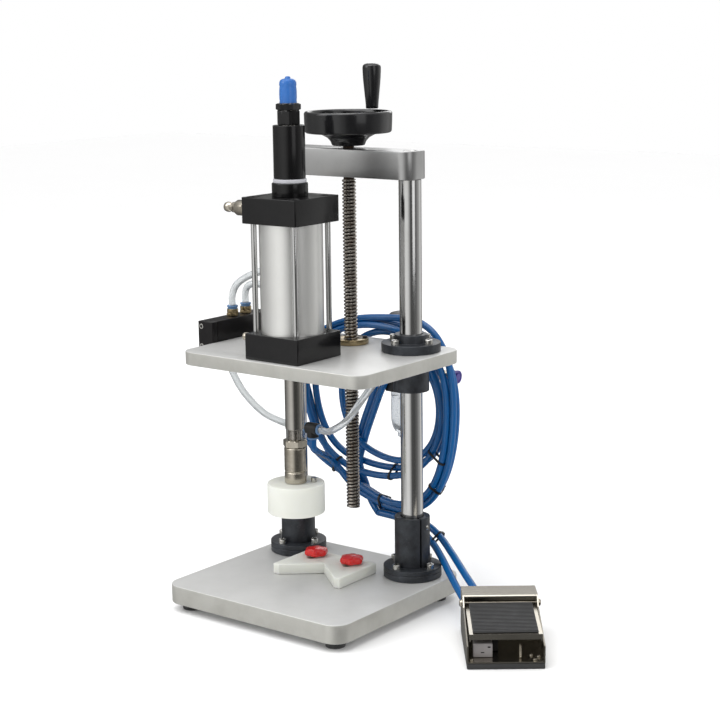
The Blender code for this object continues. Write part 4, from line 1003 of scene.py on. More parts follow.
pilotEndTee, pilotEndValve = Vector(pilotFromTee[-1]), Vector(pilotFromValve[-1])
teeLine = windHose(teeTurns, tuple(pilotEndTee), tailLower[0], 0)
valveLine = windHose(valveTurns, tuple(pilotEndValve), tailUpper[0], 1)
teeLine, valveLine = settle([teeLine, valveLine], {"front": 0.1206, "back": 0.1410})
teeLine, valveLine = smoothLine(teeLine, 0.0045), smoothLine(valveLine, 0.0045)
layHose("coilFromTee", teeLine, finishes["blueTube"], "carriage", "hose_coil")
layHose("coilFromValve", valveLine, finishes["blueTube"], "carriage", "hose_coil")

tailBend = {"start": (0.020, 0.122, 0.046), "end": (0.190, 0.055, -0.008)}
for name, route, node in (
    ("pedalTailUpper", tailUpper, "pedal_hose_upper"), ("pedalTailLower", tailLower, "pedal_hose_lower")
):
    line = smoothLine(route, 0.004)
    tail = bpy.data.objects.new(name, tubeMesh(name, line, hoseSize["diameter"] / 2))
    bpy.context.scene.collection.objects.link(tail)
    tail.data.materials.append(finishes["blueTube"])
    tail.data.shade_smooth()
    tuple(tailBend["start"])
    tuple(tailBend["end"])
    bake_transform(tail)
    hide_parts(node)
    round(lineLength(line), 3)
print("hoses laid, coil lengths", round(lineLength(teeLine), 3), round(lineLength(valveLine), 3))


# cable ties round the strands that run through a spot

def cableTie(name, spot, along, reach=0.013, bend=False):
    along = Vector(along).normalized()
    across = along.cross(Vector((0, 1, 0))).normalized()
    crossing = []
    for line in (teeLine, valveLine, smoothLine(tailUpper, 0.004), smoothLine(tailLower, 0.004)):
        gaps = (line - np.array(spot)) @ np.array(along)
        for i in np.nonzero(np.diff(np.sign(gaps)))[0]:
            away = Vector(line[i]) - Vector(spot)
            flatPlace = (away.dot(across), away.y)
            if math.hypot(*flatPlace) < reach:
                crossing.append(flatPlace)
    if not crossing:
        return None
    middle = np.array(crossing).mean(0)
    rim = []
    for step in range(48):
        angle = math.tau * step / 48
        way = np.array([math.cos(angle), math.sin(angle)])
        furthest = max(crossing, key=lambda p: p[0] * way[0] + p[1] * way[1])
        rim.append((np.array(furthest) - middle + way * hoseSize["diameter"] / 2, way))
    half, thick = 0.0013, 0.0011
    shape = bmesh.new()
    rings = []
    origin = Vector(spot) + across * float(middle[0]) + Vector((0, float(middle[1]), 0))
    for inner, way in rim:
        outer = inner + way * thick
        rings.append([
            shape.verts.new(origin + across * float(flat[0]) + Vector((0, float(flat[1]), 0)) + along * h)
            for flat, h in ((inner, -half), (outer, -half), (outer, half), (inner, half))
        ])
    for a, b in zip(rings, rings[1:] + rings[:1]):
        for k in range(4):
            shape.faces.new([a[k], a[(k + 1) % 4], b[(k + 1) % 4], b[k]])
    lock = boxMesh("lock", (-0.0022, -0.0022, -0.0024), (0.0022, 0.0022, 0.0024), edge=0.0005, steps=2)
    lockPlace = origin + across * float(rim[12][0][0]) + Vector((0, float(rim[12][0][1]) + 0.0018, 0))
    bmesh.ops.recalc_face_normals(shape, faces=shape.faces)
    band = bpy.data.meshes.new(name)
    shape.to_mesh(band)
    shape.free()
    mesh = joined(name, [(band, Matrix.Identity(4)), (lock, pointing(along, lockPlace))])
    if not bend:
        return addPiece(name, mesh, "carriage", [finishes["plasticBlack"]], slot="black_plastic")
    obj = bpy.data.objects.new(name, mesh)
    bpy.context.scene.collection.objects.link(obj)
    mesh.materials.append(finishes["plasticBlack"])
    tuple(tailBend["start"])
    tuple(tailBend["end"])
    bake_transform(obj)
    return obj


cableTie("tieInnerBottom", (0.014, 0.125, 0.100), (1, 0, 0.02))
cableTie("tieOuterBottom", (0.003, 0.125, 0.060), (1, 0, -0.1))
cableTie("tieLowerLeft", (-0.064, 0.125, 0.097), (1, 0, -0.75))
cableTie("tieRight", (0.084, 0.128, 0.126), (0.45, 0, 1))
cableTie("tieLowerRight", (0.086, 0.125, 0.086), (0.6, 0, 0.75))
cableTie("tieTail", (0.0860, 0.1160, 0.0325), (0.90, -0.30, -0.34), reach=0.012, bend=True)


# ---- shared makers for the turned and cut pieces

still = Matrix.Identity(4)


def turned(name, profile, edge=0.0006, sides=72, closed=False):
    return latheMesh(name, softCorners(profile, edge, closed), sides=sides, closed=closed)


def markWalls(mesh, flatUp=0.6):  # second material on the walls of a plate
    for polygon in mesh.polygons:
        polygon.material_index = 0 if abs(polygon.normal.z) > flatUp else 1


def hexNut(name, across, low, high, bore=0.0, edge=0.0008):
    # hexagon with turned chamfers; bore leaves a hole for the tube or thread
    corner = across / math.cos(math.pi / 6) / 2
    chamfer = across / 2 - 0.0002
    profile = [
        (bore, high), (chamfer, high), (corner, high - edge, hexagon), (corner, low + edge, hexagon),
        (chamfer, low), (bore, low),
    ]
    return latheMesh(name, profile, sides=72, closed=bore > 0)


def socketScrew(name, radius, height, socket):
    # cap screw standing on z = 0 with a hexagon socket in its head
    profile = [
        (0.0, height * 0.45), (socket, height * 0.45, hexagon), (socket, height - 0.0002, hexagon),
        (socket * 1.08, height), (radius - 0.0004, height), (radius, height - 0.0004), (radius, 0.0),
        (0.0, 0.0),
    ]
    return latheMesh(name, profile, sides=48)


def screwRing(mesh, centre, radius, bearings, height):
    # the same screw at several bearings, in degrees, round an upright axis
    ring = []
    for bearing in bearings:
        angle = math.radians(bearing)
        place = (centre[0] + radius * math.cos(angle), centre[1] + radius * math.sin(angle), height)
        ring.append((mesh, place, 1))
    return ring


def threadMesh(name, low, high, crest, root, pitch, sides=32, rows=10):
    # a real helix: each ring's radius follows the thread as it climbs
    levels = np.linspace(low, high, int(round((high - low) / pitch * rows)) + 1)
    angles = math.tau * np.arange(sides) / sides
    phase = (levels[:, None] / pitch - angles[None, :] / math.tau) % 1.0
    flank, land = 0.18, 0.08
    tooth = np.clip(np.minimum((phase - land) / flank, (1 - land - phase) / flank), 0.0, 1.0)
    radius = root + (crest - root) * tooth
    points = np.stack([radius * np.cos(angles), radius * np.sin(angles), levels[:, None] + 0 * radius], -1)
    verts = points.reshape(-1, 3).tolist() + [[0, 0, float(low)], [0, 0, float(high)]]
    faces = []
    for row in range(len(levels) - 1):
        for side in range(sides):
            after = (side + 1) % sides
            a, b = row * sides, (row + 1) * sides
            faces.append((a + side, a + after, b + after, b + side))
    last = (len(levels) - 1) * sides
    for side in range(sides):
        after = (side + 1) % sides
        faces.append((len(verts) - 2, after, side))
        faces.append((len(verts) - 1, last + side, last + after))
    mesh = bpy.data.meshes.new(name)
    mesh.from_pydata(verts, [], faces)
    return mesh


# ---- base, columns and beam

basePlate = {"x": 0.125, "y": 0.115, "low": -0.0209, "corner": 0.020, "rim": 0.0009}
baseOutline = roundRect(
    (-basePlate["x"], -basePlate["y"]), (basePlate["x"], basePlate["y"]), basePlate["corner"]
)
baseMesh = slabMesh("basePlate", [baseOutline], basePlate["low"], 0.0, edge=basePlate["rim"])
markWalls(baseMesh)
addPiece(
    "basePlate", baseMesh, "frame", [finishes["plateTop"], finishes["plateSide"]],
    replaces=("base_plate",), slot="painted_plate",
)

foot = {"radius": 0.0118, "waist": 0.0112, "hole": 0.0045, "x": 0.1032, "y": 0.0932, "top": -0.0212}
footMesh = turned("foot", [
    (0.0, floorZ + 0.0012), (foot["hole"], floorZ + 0.0012), (foot["hole"], floorZ), (0.0106, floorZ),
    (foot["radius"], floorZ + 0.0060), (foot["waist"], foot["top"]), (0.0, foot["top"]),
], edge=0.0007, sides=48)
addPiece(
    "feet", joined("feet", [(footMesh, (x * foot["x"], y * foot["y"], 0)) for x in (-1, 1) for y in (-1, 1)]),
    "frame", [finishes["rubberBlack"]], slot="black_rubber",
    replaces=("foot_front_left", "foot_front_right", "foot_back_left", "foot_back_right"),
)

column = {"radius": 0.0125, "low": 0.0003, "high": 0.4497, "x": 0.084, "y": 0.073, "chamfer": 0.0010}
columnMesh = turned("columns", [
    (0.0, column["low"]), (column["radius"], column["low"]), (column["radius"], column["high"]),
    (0.0, column["high"]),
], edge=column["chamfer"], sides=96)
addPiece(
    "columns", joined("columns", [(columnMesh, (x * column["x"], column["y"], 0)) for x in (-1, 1)]), "frame",
    [finishes["columnChrome"]], replaces=("column_left", "column_right"), slot="chrome",
)

leadScrew = {
    "x": 0.0012, "y": 0.0712, "crest": 0.0078, "root": 0.0061, "pitch": 0.004, "low": 0.0670, "high": 0.4460,
    "top": 0.5115,
}
beam = {
    "low": (-0.097, 0.053), "high": (0.097, 0.093), "corner": 0.015, "z": (0.4500, 0.4807), "well": 0.0072,
    "screwHole": 0.0068, "headLow": 0.4735,
}
beamMesh = slabMesh("topBeam", [
    roundRect(beam["low"], beam["high"], beam["corner"]),
    circle(-column["x"], column["y"], beam["well"]), circle(column["x"], column["y"], beam["well"]),
    circle(leadScrew["x"], leadScrew["y"], beam["screwHole"]),
], *beam["z"], edge=0.0008)
addPiece(
    "topBeam", beamMesh, "frame", [finishes["beamBrushed"]], replaces=("top_beam",),
    slot="brushed_aluminium",
)
beamScrew = socketScrew("beamScrew", 0.0064, 0.0068, 0.0032)
beamScrews = [(beamScrew, (x * column["x"], column["y"], beam["headLow"])) for x in (-1, 1)]
addPiece(
    "beamScrews", joined("beamScrews", beamScrews), "frame", [finishes["steelBright"]], slot="chrome",
)

baseFlange = {
    "disc": 0.033, "hub": 0.020, "bore": 0.0128, "low": 0.0004, "discTop": 0.0130, "hubTop": 0.070,
    "groove": (0.0068, 0.0082), "grooveDepth": 0.0007, "slit": 0.0011, "screwCircle": 0.0265,
}
flangeBearings = (-6, 84, 174, 264)
grooveRadius = baseFlange["disc"] - baseFlange["grooveDepth"]
grooveLow, grooveHigh = baseFlange["groove"]
discMesh = turned("baseFlange", [
    (baseFlange["bore"], baseFlange["discTop"]), (baseFlange["disc"], baseFlange["discTop"]),
    (baseFlange["disc"], grooveHigh), (grooveRadius, grooveHigh - 0.0003), (grooveRadius, grooveLow + 0.0003),
    (baseFlange["disc"], grooveLow), (baseFlange["disc"], baseFlange["low"]),
    (baseFlange["bore"], baseFlange["low"]),
], sides=96, closed=True)
hubEdge = baseFlange["hub"] * math.cos(math.asin(baseFlange["slit"] / baseFlange["hub"]))
sweep = [math.radians(bearing) for bearing in range(5, 356, 5)]
splitRing = (
    [(hubEdge, baseFlange["slit"])]
    + [(baseFlange["hub"] * math.cos(a), baseFlange["hub"] * math.sin(a)) for a in sweep]
    + [(hubEdge, -baseFlange["slit"]), (baseFlange["bore"], -baseFlange["slit"])]
    + [(baseFlange["bore"] * math.cos(a), baseFlange["bore"] * math.sin(a)) for a in reversed(sweep)]
    + [(baseFlange["bore"], baseFlange["slit"])]
)
clampRing = slabMesh(
    "clampRing", [splitRing], baseFlange["discTop"] - 0.0004, baseFlange["hubTop"], edge=0.0005
)
flangeScrew = socketScrew("flangeScrew", 0.0046, 0.0054, 0.0023)
clampScrew = socketScrew("clampScrew", 0.0030, 0.0030, 0.0015)
for side, x, slitTurn in (("Left", -column["x"], 215.0), ("Right", column["x"], -25.0)):
    centre = (x, column["y"])
    slit = Matrix.Translation((*centre, 0)) @ Matrix.Rotation(math.radians(slitTurn), 4, "Z")
    whole = joined("baseFlange" + side, [
        (discMesh, (*centre, 0)), (clampRing, slit),
        (clampScrew, slit @ pointing((0, 1, 0), (0.0165, 0.0075, 0.0585)), 1),
        *screwRing(flangeScrew, centre, baseFlange["screwCircle"], flangeBearings, baseFlange["discTop"]),
    ])
    addPiece(
        "baseFlange" + side, whole, "frame", [finishes["blackOxide"], finishes["steelBright"]],
        replaces=("base_flange_" + side.lower(),), slot="black_steel",
    )


# ---- lift plate, guides and screw

liftPlate = {
    "low": (-0.1305, -0.0737), "high": (0.1255, 0.1145), "corner": 0.018, "z": (0.2448, 0.2598),
    "guideHole": 0.0203, "screwHole": 0.0138, "rodHole": 0.0125, "rim": 0.0009,
}
cylinder = {"y": -0.030, "half": 0.0375, "corner": 0.0022, "rodSpot": 0.02825}
liftMesh = slabMesh("liftPlate", [
    roundRect(liftPlate["low"], liftPlate["high"], liftPlate["corner"]),
    circle(-column["x"], column["y"], liftPlate["guideHole"]),
    circle(column["x"], column["y"], liftPlate["guideHole"]),
    circle(leadScrew["x"], leadScrew["y"], liftPlate["screwHole"]),
    circle(0.0, cylinder["y"], liftPlate["rodHole"]),
], *liftPlate["z"], edge=liftPlate["rim"])
markWalls(liftMesh)
addPiece(
    "liftPlate", liftMesh, "carriage", [finishes["plateTop"], finishes["plateSide"]],
    replaces=("lift_plate",), slot="painted_plate",
)

guide = {
    "disc": 0.033, "collar": 0.0185, "hub": 0.0200, "bore": 0.0127, "top": 0.2790, "discTop": 0.2698,
    "discLow": 0.2601, "low": 0.2150, "screwCircle": 0.0258,
}
guideMesh = turned("guideFlange", [
    (guide["bore"], guide["top"]), (guide["collar"], guide["top"]), (guide["collar"], guide["discTop"]),
    (guide["disc"], guide["discTop"]), (guide["disc"], guide["discLow"]), (guide["hub"], guide["discLow"]),
    (guide["hub"], guide["low"]), (guide["bore"], guide["low"]),
], sides=96, closed=True)
for side, x in (("Left", -column["x"]), ("Right", column["x"])):
    centre = (x, column["y"])
    whole = joined("guideFlange" + side, [
        (guideMesh, (*centre, 0)),
        *screwRing(flangeScrew, centre, guide["screwCircle"], flangeBearings, guide["discTop"]),
    ])
    addPiece(
        "guideFlange" + side, whole, "carriage", [finishes["blackOxide"], finishes["steelBright"]],
        replaces=("guide_flange_" + side.lower(),), slot="black_steel",
    )

screwAxis = (leadScrew["x"], leadScrew["y"], 0)
threadPart = threadMesh(
    "leadThread", leadScrew["low"], leadScrew["high"], leadScrew["crest"], leadScrew["root"],
    leadScrew["pitch"],
)
journal = turned("journal", [
    (0.0, leadScrew["top"]), (leadScrew["root"], leadScrew["top"]), (leadScrew["root"], 0.4458),
    (0.0, 0.4458),
], sides=48)
addPiece(
    "leadScrew", joined("leadScrew", [(threadPart, still), (journal, still)]), "screw",
    [finishes["threadOiled"]], place=screwAxis, replaces=("lead_screw",), slot="screw_steel", sharp=50,
)

screwNut = {"flange": 0.0200, "body": 0.0135, "bore": 0.0082, "top": 0.2661, "under": 0.2601, "low": 0.2380}
nutBody = turned("nutBody", [
    (screwNut["bore"], screwNut["top"]), (screwNut["flange"], screwNut["top"]),
    (screwNut["flange"], screwNut["under"]), (screwNut["body"], screwNut["under"]),
    (screwNut["body"], screwNut["low"]), (screwNut["bore"], screwNut["low"]),
], closed=True)
nutScrew = socketScrew("nutScrew", 0.0027, 0.0024, 0.0013)
nutScrews = screwRing(nutScrew, (0, 0), 0.0158, (30, 120, 210, 300), screwNut["top"])
addPiece(
    "screwNut", joined("screwNut", [(nutBody, still), *nutScrews]), "carriage",
    [finishes["brassTurned"], finishes["plasticBlack"]], place=screwAxis, replaces=("screw_nut",),
    slot="brass",
)

wheelBore, wheelLow = 0.0063, 0.4838
wheel = turned("handwheel", [
    (wheelBore, 0.5110), (0.0125, 0.5110), (0.0140, 0.5068), (0.0390, 0.5058), (0.0422, 0.5075),
    (0.0432, 0.5190), (0.0448, 0.5214), (0.0478, 0.5214), (0.0491, 0.5195), (0.0489, 0.5100),
    (0.0484, 0.4995), (0.0470, 0.4978), (0.0400, 0.4976), (0.0300, 0.4958), (0.0236, 0.4925),
    (0.0200, 0.4885), (0.0185, 0.4845), (0.0178, wheelLow), (wheelBore, wheelLow),
], edge=0.0009, sides=128, closed=True)
wheelNut = hexNut("wheelNut", 0.0170, 0.5111, 0.5175)
addPiece(
    "handwheel", joined("handwheel", [(wheel, still), (wheelNut, still, 1)]), "screw",
    [finishes["phenolic"], finishes["blackOxide"]], place=screwAxis, replaces=("handwheel",), slot="bakelite",
    sharp=40,
)

gripPlace = centreOf("handwheel_grip")
gripMesh = latheMesh("handwheelGrip", [
    (0.0, 0.5730), (0.0040, 0.5728), (0.0080, 0.5718), (0.0098, 0.5703), (0.0104, 0.5680),
    (0.0103, 0.5640), (0.0099, 0.5560), (0.0092, 0.5480), (0.0083, 0.5390), (0.0075, 0.5310),
    (0.0071, 0.5260), (0.0071, 0.5236), (0.0066, 0.5226), (0.0, 0.5226),
], sides=72)
addPiece(
    "handwheelGrip", gripMesh, "grip", [finishes["phenolic"]], place=(gripPlace.x, gripPlace.y, 0),
    replaces=("handwheel_grip",), slot="bakelite",
)
print("frame, plates and screw detailed")


# ---- air cylinder, its caps, rods and stop

cylinderAxis = (0, cylinder["y"], 0)
half, spot = cylinder["half"], cylinder["rodSpot"]
corners = [(x * spot, y * spot, 0) for x in (-1, 1) for y in (-1, 1)]
square = roundRect((-half, -half), (half, half), cylinder["corner"], steps=5)
frontCap = {"z": (0.2601, 0.2881), "bore": 0.0122}
addPiece(
    "frontCap", slabMesh("frontCap", [square, circle(0, 0, frontCap["bore"])], *frontCap["z"], edge=0.0006),
    "carriage", [finishes["glossAnodised"]], place=cylinderAxis, replaces=("front_cap",),
    slot="black_anodised",
)

rearCap = {"z": (0.4079, 0.4362), "well": 0.0075, "wellFloor": 0.4270, "collar": 0.0195, "collarTop": 0.4505}
wells = [circle(x, y, rearCap["well"]) for x, y, z in corners]
capMesh = slabMesh("rearCap", [square, *wells], *rearCap["z"], edge=0.0006)
wellFloor = latheMesh("wellFloor", [
    (0.0, rearCap["wellFloor"]), (0.0074, rearCap["wellFloor"]), (0.0074, 0.4200), (0.0, 0.4200),
], sides=36)
collarMesh = turned("rearCollar", [
    (0.0176, rearCap["collarTop"]), (0.0190, rearCap["collarTop"]),
    (rearCap["collar"], rearCap["collarTop"] - 0.0007), (rearCap["collar"], rearCap["z"][1]),
    (0.0176, rearCap["z"][1]),
], closed=True)
addPiece(
    "rearCap", joined("rearCap", [(capMesh, still), (collarMesh, still), *[(wellFloor, c) for c in corners]]),
    "carriage", [finishes["glossAnodised"]], place=cylinderAxis, replaces=("rear_cap",),
    slot="black_anodised",
)

tieRod = {"radius": 0.0031, "low": 0.2875, "high": 0.4085, "nut": 0.0100}
tieNut = hexNut("tieNut", tieRod["nut"], rearCap["wellFloor"] + 0.0001, 0.4318)
tieEnd = threadMesh("tieEnd", 0.4300, 0.4345, 0.0029, 0.0026, 0.0010, sides=24, rows=8)
tieShaft = turned("tieShaft", [
    (0.0, tieRod["high"]), (tieRod["radius"], tieRod["high"]), (tieRod["radius"], tieRod["low"]),
    (0.0, tieRod["low"]),
], edge=0.0003, sides=40)
rods = []
for corner in corners:
    rods += [(tieShaft, corner), (tieNut, corner, 1), (tieEnd, corner, 1)]
addPiece(
    "tieRods", joined("tieRods", rods), "carriage", [finishes["columnChrome"], finishes["nickelTurned"]],
    place=cylinderAxis, slot="chrome",
    replaces=("tie_rod_front_left", "tie_rod_front_right", "tie_rod_back_left", "tie_rod_back_right"),
)

barrel = {"inner": 0.0315, "outer": 0.0345, "low": 0.2882, "high": 0.4078}
barrelMesh = latheMesh("barrel", [
    (barrel["inner"], barrel["high"]), (barrel["outer"], barrel["high"]), (barrel["outer"], barrel["low"]),
    (barrel["inner"], barrel["low"]),
], sides=128, closed=True)
addPiece(
    "barrel", barrelMesh, "carriage", [finishes["barrelSatin"]], place=cylinderAxis, replaces=("barrel",),
    slot="barrel_aluminium",
)

tailBore = 0.0109
for name, radius, low, high, edge, finish, node, slot in (
    ("bumperRing", 0.0180, 0.4508, 0.4549, 0.0006, "urethane", "bumper_ring", "bumper"),
    ("stopSleeve", 0.0172, 0.4553, 0.5116, 0.0007, "glossAnodised", "stop_sleeve", "black_anodised"),
):
    tube = turned(name, [(tailBore, high), (radius, high), (radius, low), (tailBore, low)], edge, closed=True)
    addPiece(name, tube, "press", [finishes[finish]], place=cylinderAxis, replaces=(node,), slot=slot)

stopNut = {"across": 0.0235, "deepTurn": 12, "thinTurn": 31}
stopNuts = joined("stopNuts", [
    (hexNut("deepNut", stopNut["across"], 0.5119, 0.5272),
     Matrix.Rotation(math.radians(stopNut["deepTurn"]), 4, "Z")),
    (hexNut("thinNut", stopNut["across"], 0.5275, 0.5345),
     Matrix.Rotation(math.radians(stopNut["thinTurn"]), 4, "Z")),
])
addPiece(
    "stopNuts", stopNuts, "press", [finishes["glossAnodised"]], place=cylinderAxis, replaces=("stop_nut",),
    slot="black_anodised",
)
capTip = latheMesh("rodCap", [
    (0.0, 0.5629), (0.0020, 0.5628), (0.0028, 0.5618), (0.0032, 0.5606), (0.0060, 0.5600),
    (0.0080, 0.5588), (0.0090, 0.5568), (0.0092, 0.5540), (0.0088, 0.5522), (0.0091, 0.5504),
    (0.0093, 0.5470), (0.0093, 0.5400), (0.0090, 0.5370), (0.0093, 0.5360), (0.0093, 0.5349), (0.0, 0.5349),
], sides=64)
addPiece(
    "rodCap", capTip, "press", [finishes["vinylBlue"]], place=cylinderAxis, replaces=("rod_cap",),
    slot="blue_cap",
)


# ---- piston rod, coupling and press head

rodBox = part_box("piston_rod")
rod = {"radius": 0.0105, "tail": 0.0078, "thread": 0.0080, "root": 0.0071, "shoulder": 0.1790, "neck": 0.4490}
rodShape = turned("rodShape", [
    (0.0, rodBox[1].z), (rod["tail"], rodBox[1].z), (rod["tail"], rod["neck"] + 0.0010),
    (rod["radius"], rod["neck"]), (rod["radius"], rod["shoulder"] + 0.0010), (rod["thread"], rod["shoulder"]),
    (0.0, rod["shoulder"]),
], sides=96)
rodThread = threadMesh(
    "rodThread", rodBox[0].z, rod["shoulder"] + 0.0002, rod["thread"], rod["root"], 0.0015, rows=8
)
addPiece(
    "pistonRod", joined("pistonRod", [(rodShape, still), (rodThread, still)]), "press",
    [finishes["rodChrome"]], place=cylinderAxis, replaces=("piston_rod",), slot="chrome", sharp=40,
)
addPiece(
    "rodNut", hexNut("rodNut", 0.0240, 0.1598, 0.1678), "press", [finishes["nickelTurned"]],
    place=Matrix.Translation(cylinderAxis) @ Matrix.Rotation(math.radians(22), 4, "Z"),
    replaces=("rod_nut",), slot="brass",
)

coupling = {"radius": 0.0123, "groove": 0.0117, "low": 0.1193, "high": 0.1593}
couplingMesh = turned("coupling", [
    (0.0, coupling["high"]), (0.0115, coupling["high"]), (coupling["radius"], coupling["high"] - 0.0010),
    (coupling["radius"], 0.1330), (coupling["groove"], 0.1325), (coupling["groove"], 0.1315),
    (coupling["radius"], 0.1310), (coupling["radius"], coupling["low"]), (0.0, coupling["low"]),
], edge=0.0005)
addPiece(
    "rodCoupling", couplingMesh, "press", [finishes["nickelTurned"]], place=cylinderAxis,
    replaces=("rod_coupling",), slot="nickel",
)

head = {"radius": 0.0319, "low": 0.0854, "high": 0.1189, "screwCircle": 0.0200, "screwBearing": 38}
headMesh = turned("pressHead", [
    (0.0, head["high"]), (head["radius"], head["high"]), (head["radius"], head["low"]), (0.0, head["low"]),
], edge=0.0014, sides=96)
headScrew = socketScrew("headScrew", 0.0034, 0.0052, 0.0017)
headScrews = screwRing(headScrew, (0, 0), head["screwCircle"], (head["screwBearing"],), head["high"])
addPiece(
    "pressHead", joined("pressHead", [(headMesh, still), *headScrews]), "press",
    [finishes["nylonMilky"], finishes["steelBright"]], place=cylinderAxis, replaces=("press_head",),
    slot="nylon",
)

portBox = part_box("port_fitting_top")
portLength = portBox[1].x - portBox[0].x
portMesh = latheMesh("portFitting", [
    (0.0, 0.0), (0.0030, 0.0002), (0.0048, 0.0016), (0.0056, 0.0040), (0.0056, 0.0068), (0.0047, 0.0090),
    (0.0040, 0.0100), (0.0040, 0.0118), (0.0058, 0.0126), (0.0060, 0.0150), (0.0052, 0.0158),
    (0.0052, 0.0172), (0.0078, 0.0184), (0.0086, 0.0200), (0.0086, 0.0300), (0.0078, 0.0312),
    (0.0070, 0.0330), (0.0070, portLength), (0.0, portLength),
], sides=48)
portEnd = centreOf("port_fitting_top")
portEnd.x = portBox[0].x
addPiece(
    "portFitting", portMesh, "carriage", [finishes["nickelTurned"]], place=pointing((1, 0, 0), portEnd),
    replaces=("port_fitting_top",), slot="nickel",
)
frontPort = latheMesh("frontPort", [
    (0.0, 0.0), (0.0030, 0.0002), (0.0044, 0.0018), (0.0048, 0.0060), (0.0040, 0.0085), (0.0040, 0.0110),
    (0.0060, 0.0125), (0.0062, 0.0340), (0.0, 0.0340),
], sides=40)
addPiece(
    "frontPort", frontPort, "carriage", [finishes["nickelTurned"]],
    place=pointing((1, 0, 0), (-0.0716, cylinder["y"], 0.2760)), slot="nickel",
)
print("cylinder detailed")


# ---- valve, regulator and tee

valve = {
    "low": (-0.1528, -0.0170, 0.2486), "high": (-0.1308, 0.0850, 0.2836), "ends": 0.0084, "joint": 0.0003,
}
frontJoint = valve["low"][1] + valve["ends"]
backJoint = valve["high"][1] - valve["ends"]
valveParts = []
for name, fromY, toY in (
    ("valveFront", valve["low"][1], frontJoint),
    ("valveBody", frontJoint + valve["joint"], backJoint - valve["joint"]),
    ("valveBack", backJoint, valve["high"][1]),
):
    low, high = (valve["low"][0], fromY, valve["low"][2]), (valve["high"][0], toY, valve["high"][2])
    valveParts.append((boxMesh(name, low, high, edge=0.0009), still))
mountRing = turned("mountRing", [
    (0.0018, 0.0004), (0.0030, 0.0004), (0.0030, -0.0010), (0.0018, -0.0010),
], edge=0.0002, sides=32, closed=True)
for z in (0.2546, 0.2776):
    valveParts.append((mountRing, pointing((0, -1, 0), (valveX - 0.0060, valve["low"][1], z)), 1))
for y in (0.0060, 0.0670):
    valveParts.append((mountRing, pointing((-1, 0, 0), (valve["low"][0] + 0.0004, y, 0.2700)), 1))
addPiece(
    "airValve", joined("airValve", valveParts), "carriage",
    [finishes["blackAnodised"], finishes["steelBright"]], replaces=("air_valve",), slot="black_anodised",
)

tubeHole = 0.0043
pushBody = turned("pushBody", [
    (tubeHole, 0.0082), (0.0066, 0.0082), (0.0066, 0.0040), (0.0060, 0.0036), (0.0060, 0.0001),
    (tubeHole, 0.0001),
], edge=0.0004, sides=48, closed=True)
pushHex = hexNut("pushHex", 0.0128, 0.0002, 0.0038, bore=tubeHole, edge=0.0004)
pushRing = turned("pushRing", [
    (tubeHole, 0.0122), (0.0064, 0.0122), (0.0064, 0.0106), (0.0056, 0.0100), (0.0056, 0.0083),
    (tubeHole, 0.0083),
], edge=0.0004, sides=48, closed=True)
for node, name in (("valve_fitting_front", "valveFittingFront"), ("valve_fitting_back", "valveFittingBack")):
    foundation = centreOf(node)
    foundation.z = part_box(node)[0].z
    addPiece(
        name, joined(name, [(pushBody, still), (pushHex, still), (pushRing, still, 1)]), "carriage",
        [finishes["brassTurned"], finishes["collarBlue"]], place=foundation, replaces=(node,), slot="brass",
    )

regulator = {"axis": (0.016, 0.152, 0), "half": 0.017, "corner": 0.005, "low": 0.1925, "high": 0.2400}
half = regulator["half"]
blockOutline = roundRect((-half, -half), (half, half), regulator["corner"], steps=6)
regBlock = slabMesh("regBlock", [blockOutline], regulator["low"], regulator["high"], edge=0.0009)
regNeck = turned("regNeck", [
    (0.0, 0.2620), (0.0120, 0.2620), (0.0135, 0.2600), (0.0135, regulator["high"]), (0.0, regulator["high"]),
], sides=64)
regRing = latheMesh("regRing", softCorners([
    (0.0, 0.2470), (0.0165, 0.2470), (0.0165, 0.2408), (0.0, 0.2408),
], 0.0008), sides=64, scale=lambda angle: 1.0 + 0.018 * math.cos(20 * angle))
regArm = boxMesh("regArm", (-0.0120, -0.0345, 0.2470), (0.0120, 0.0, 0.2515), edge=0.0006)
regFoot = boxMesh("regFoot", (-0.0160, -0.0372, 0.2455), (0.0160, -0.0343, 0.2590), edge=0.0006)
regScrew = socketScrew("regScrew", 0.0024, 0.0020, 0.0012)
regParts = [(part, still) for part in (regBlock, regNeck, regRing, regArm, regFoot)]
for x in (-0.0105, 0.0105):
    regParts.append((regScrew, pointing((0, 1, 0), (x, -0.0343, 0.2550)), 1))
addPiece(
    "regulatorBody", joined("regulatorBody", regParts), "carriage",
    [finishes["plasticBlack"], finishes["steelBright"]], place=regulator["axis"],
    replaces=("regulator_body",), slot="black_plastic",
)


def knurl(angle):
    return 1.0 - 0.022 * (0.5 + 0.5 * math.cos(36 * angle))


knobMesh = latheMesh("regulatorKnob", [
    (0.0, 0.2858), (0.0110, 0.2858), (0.0128, 0.2852), (0.0150, 0.2848), (0.0166, 0.2834, knurl),
    (0.0170, 0.2815, knurl), (0.0170, 0.2680, knurl), (0.0166, 0.2660, knurl), (0.0150, 0.2643),
    (0.0, 0.2643),
], sides=144)
addPiece(
    "regulatorKnob", knobMesh, "regulator_dial", [finishes["plasticBlack"]], place=regulator["axis"],
    replaces=("regulator_knob",), slot="black_plastic",
)


def bowlRib(angle):
    return 1.0 - 0.030 * max(0.0, math.cos(8 * angle)) ** 6


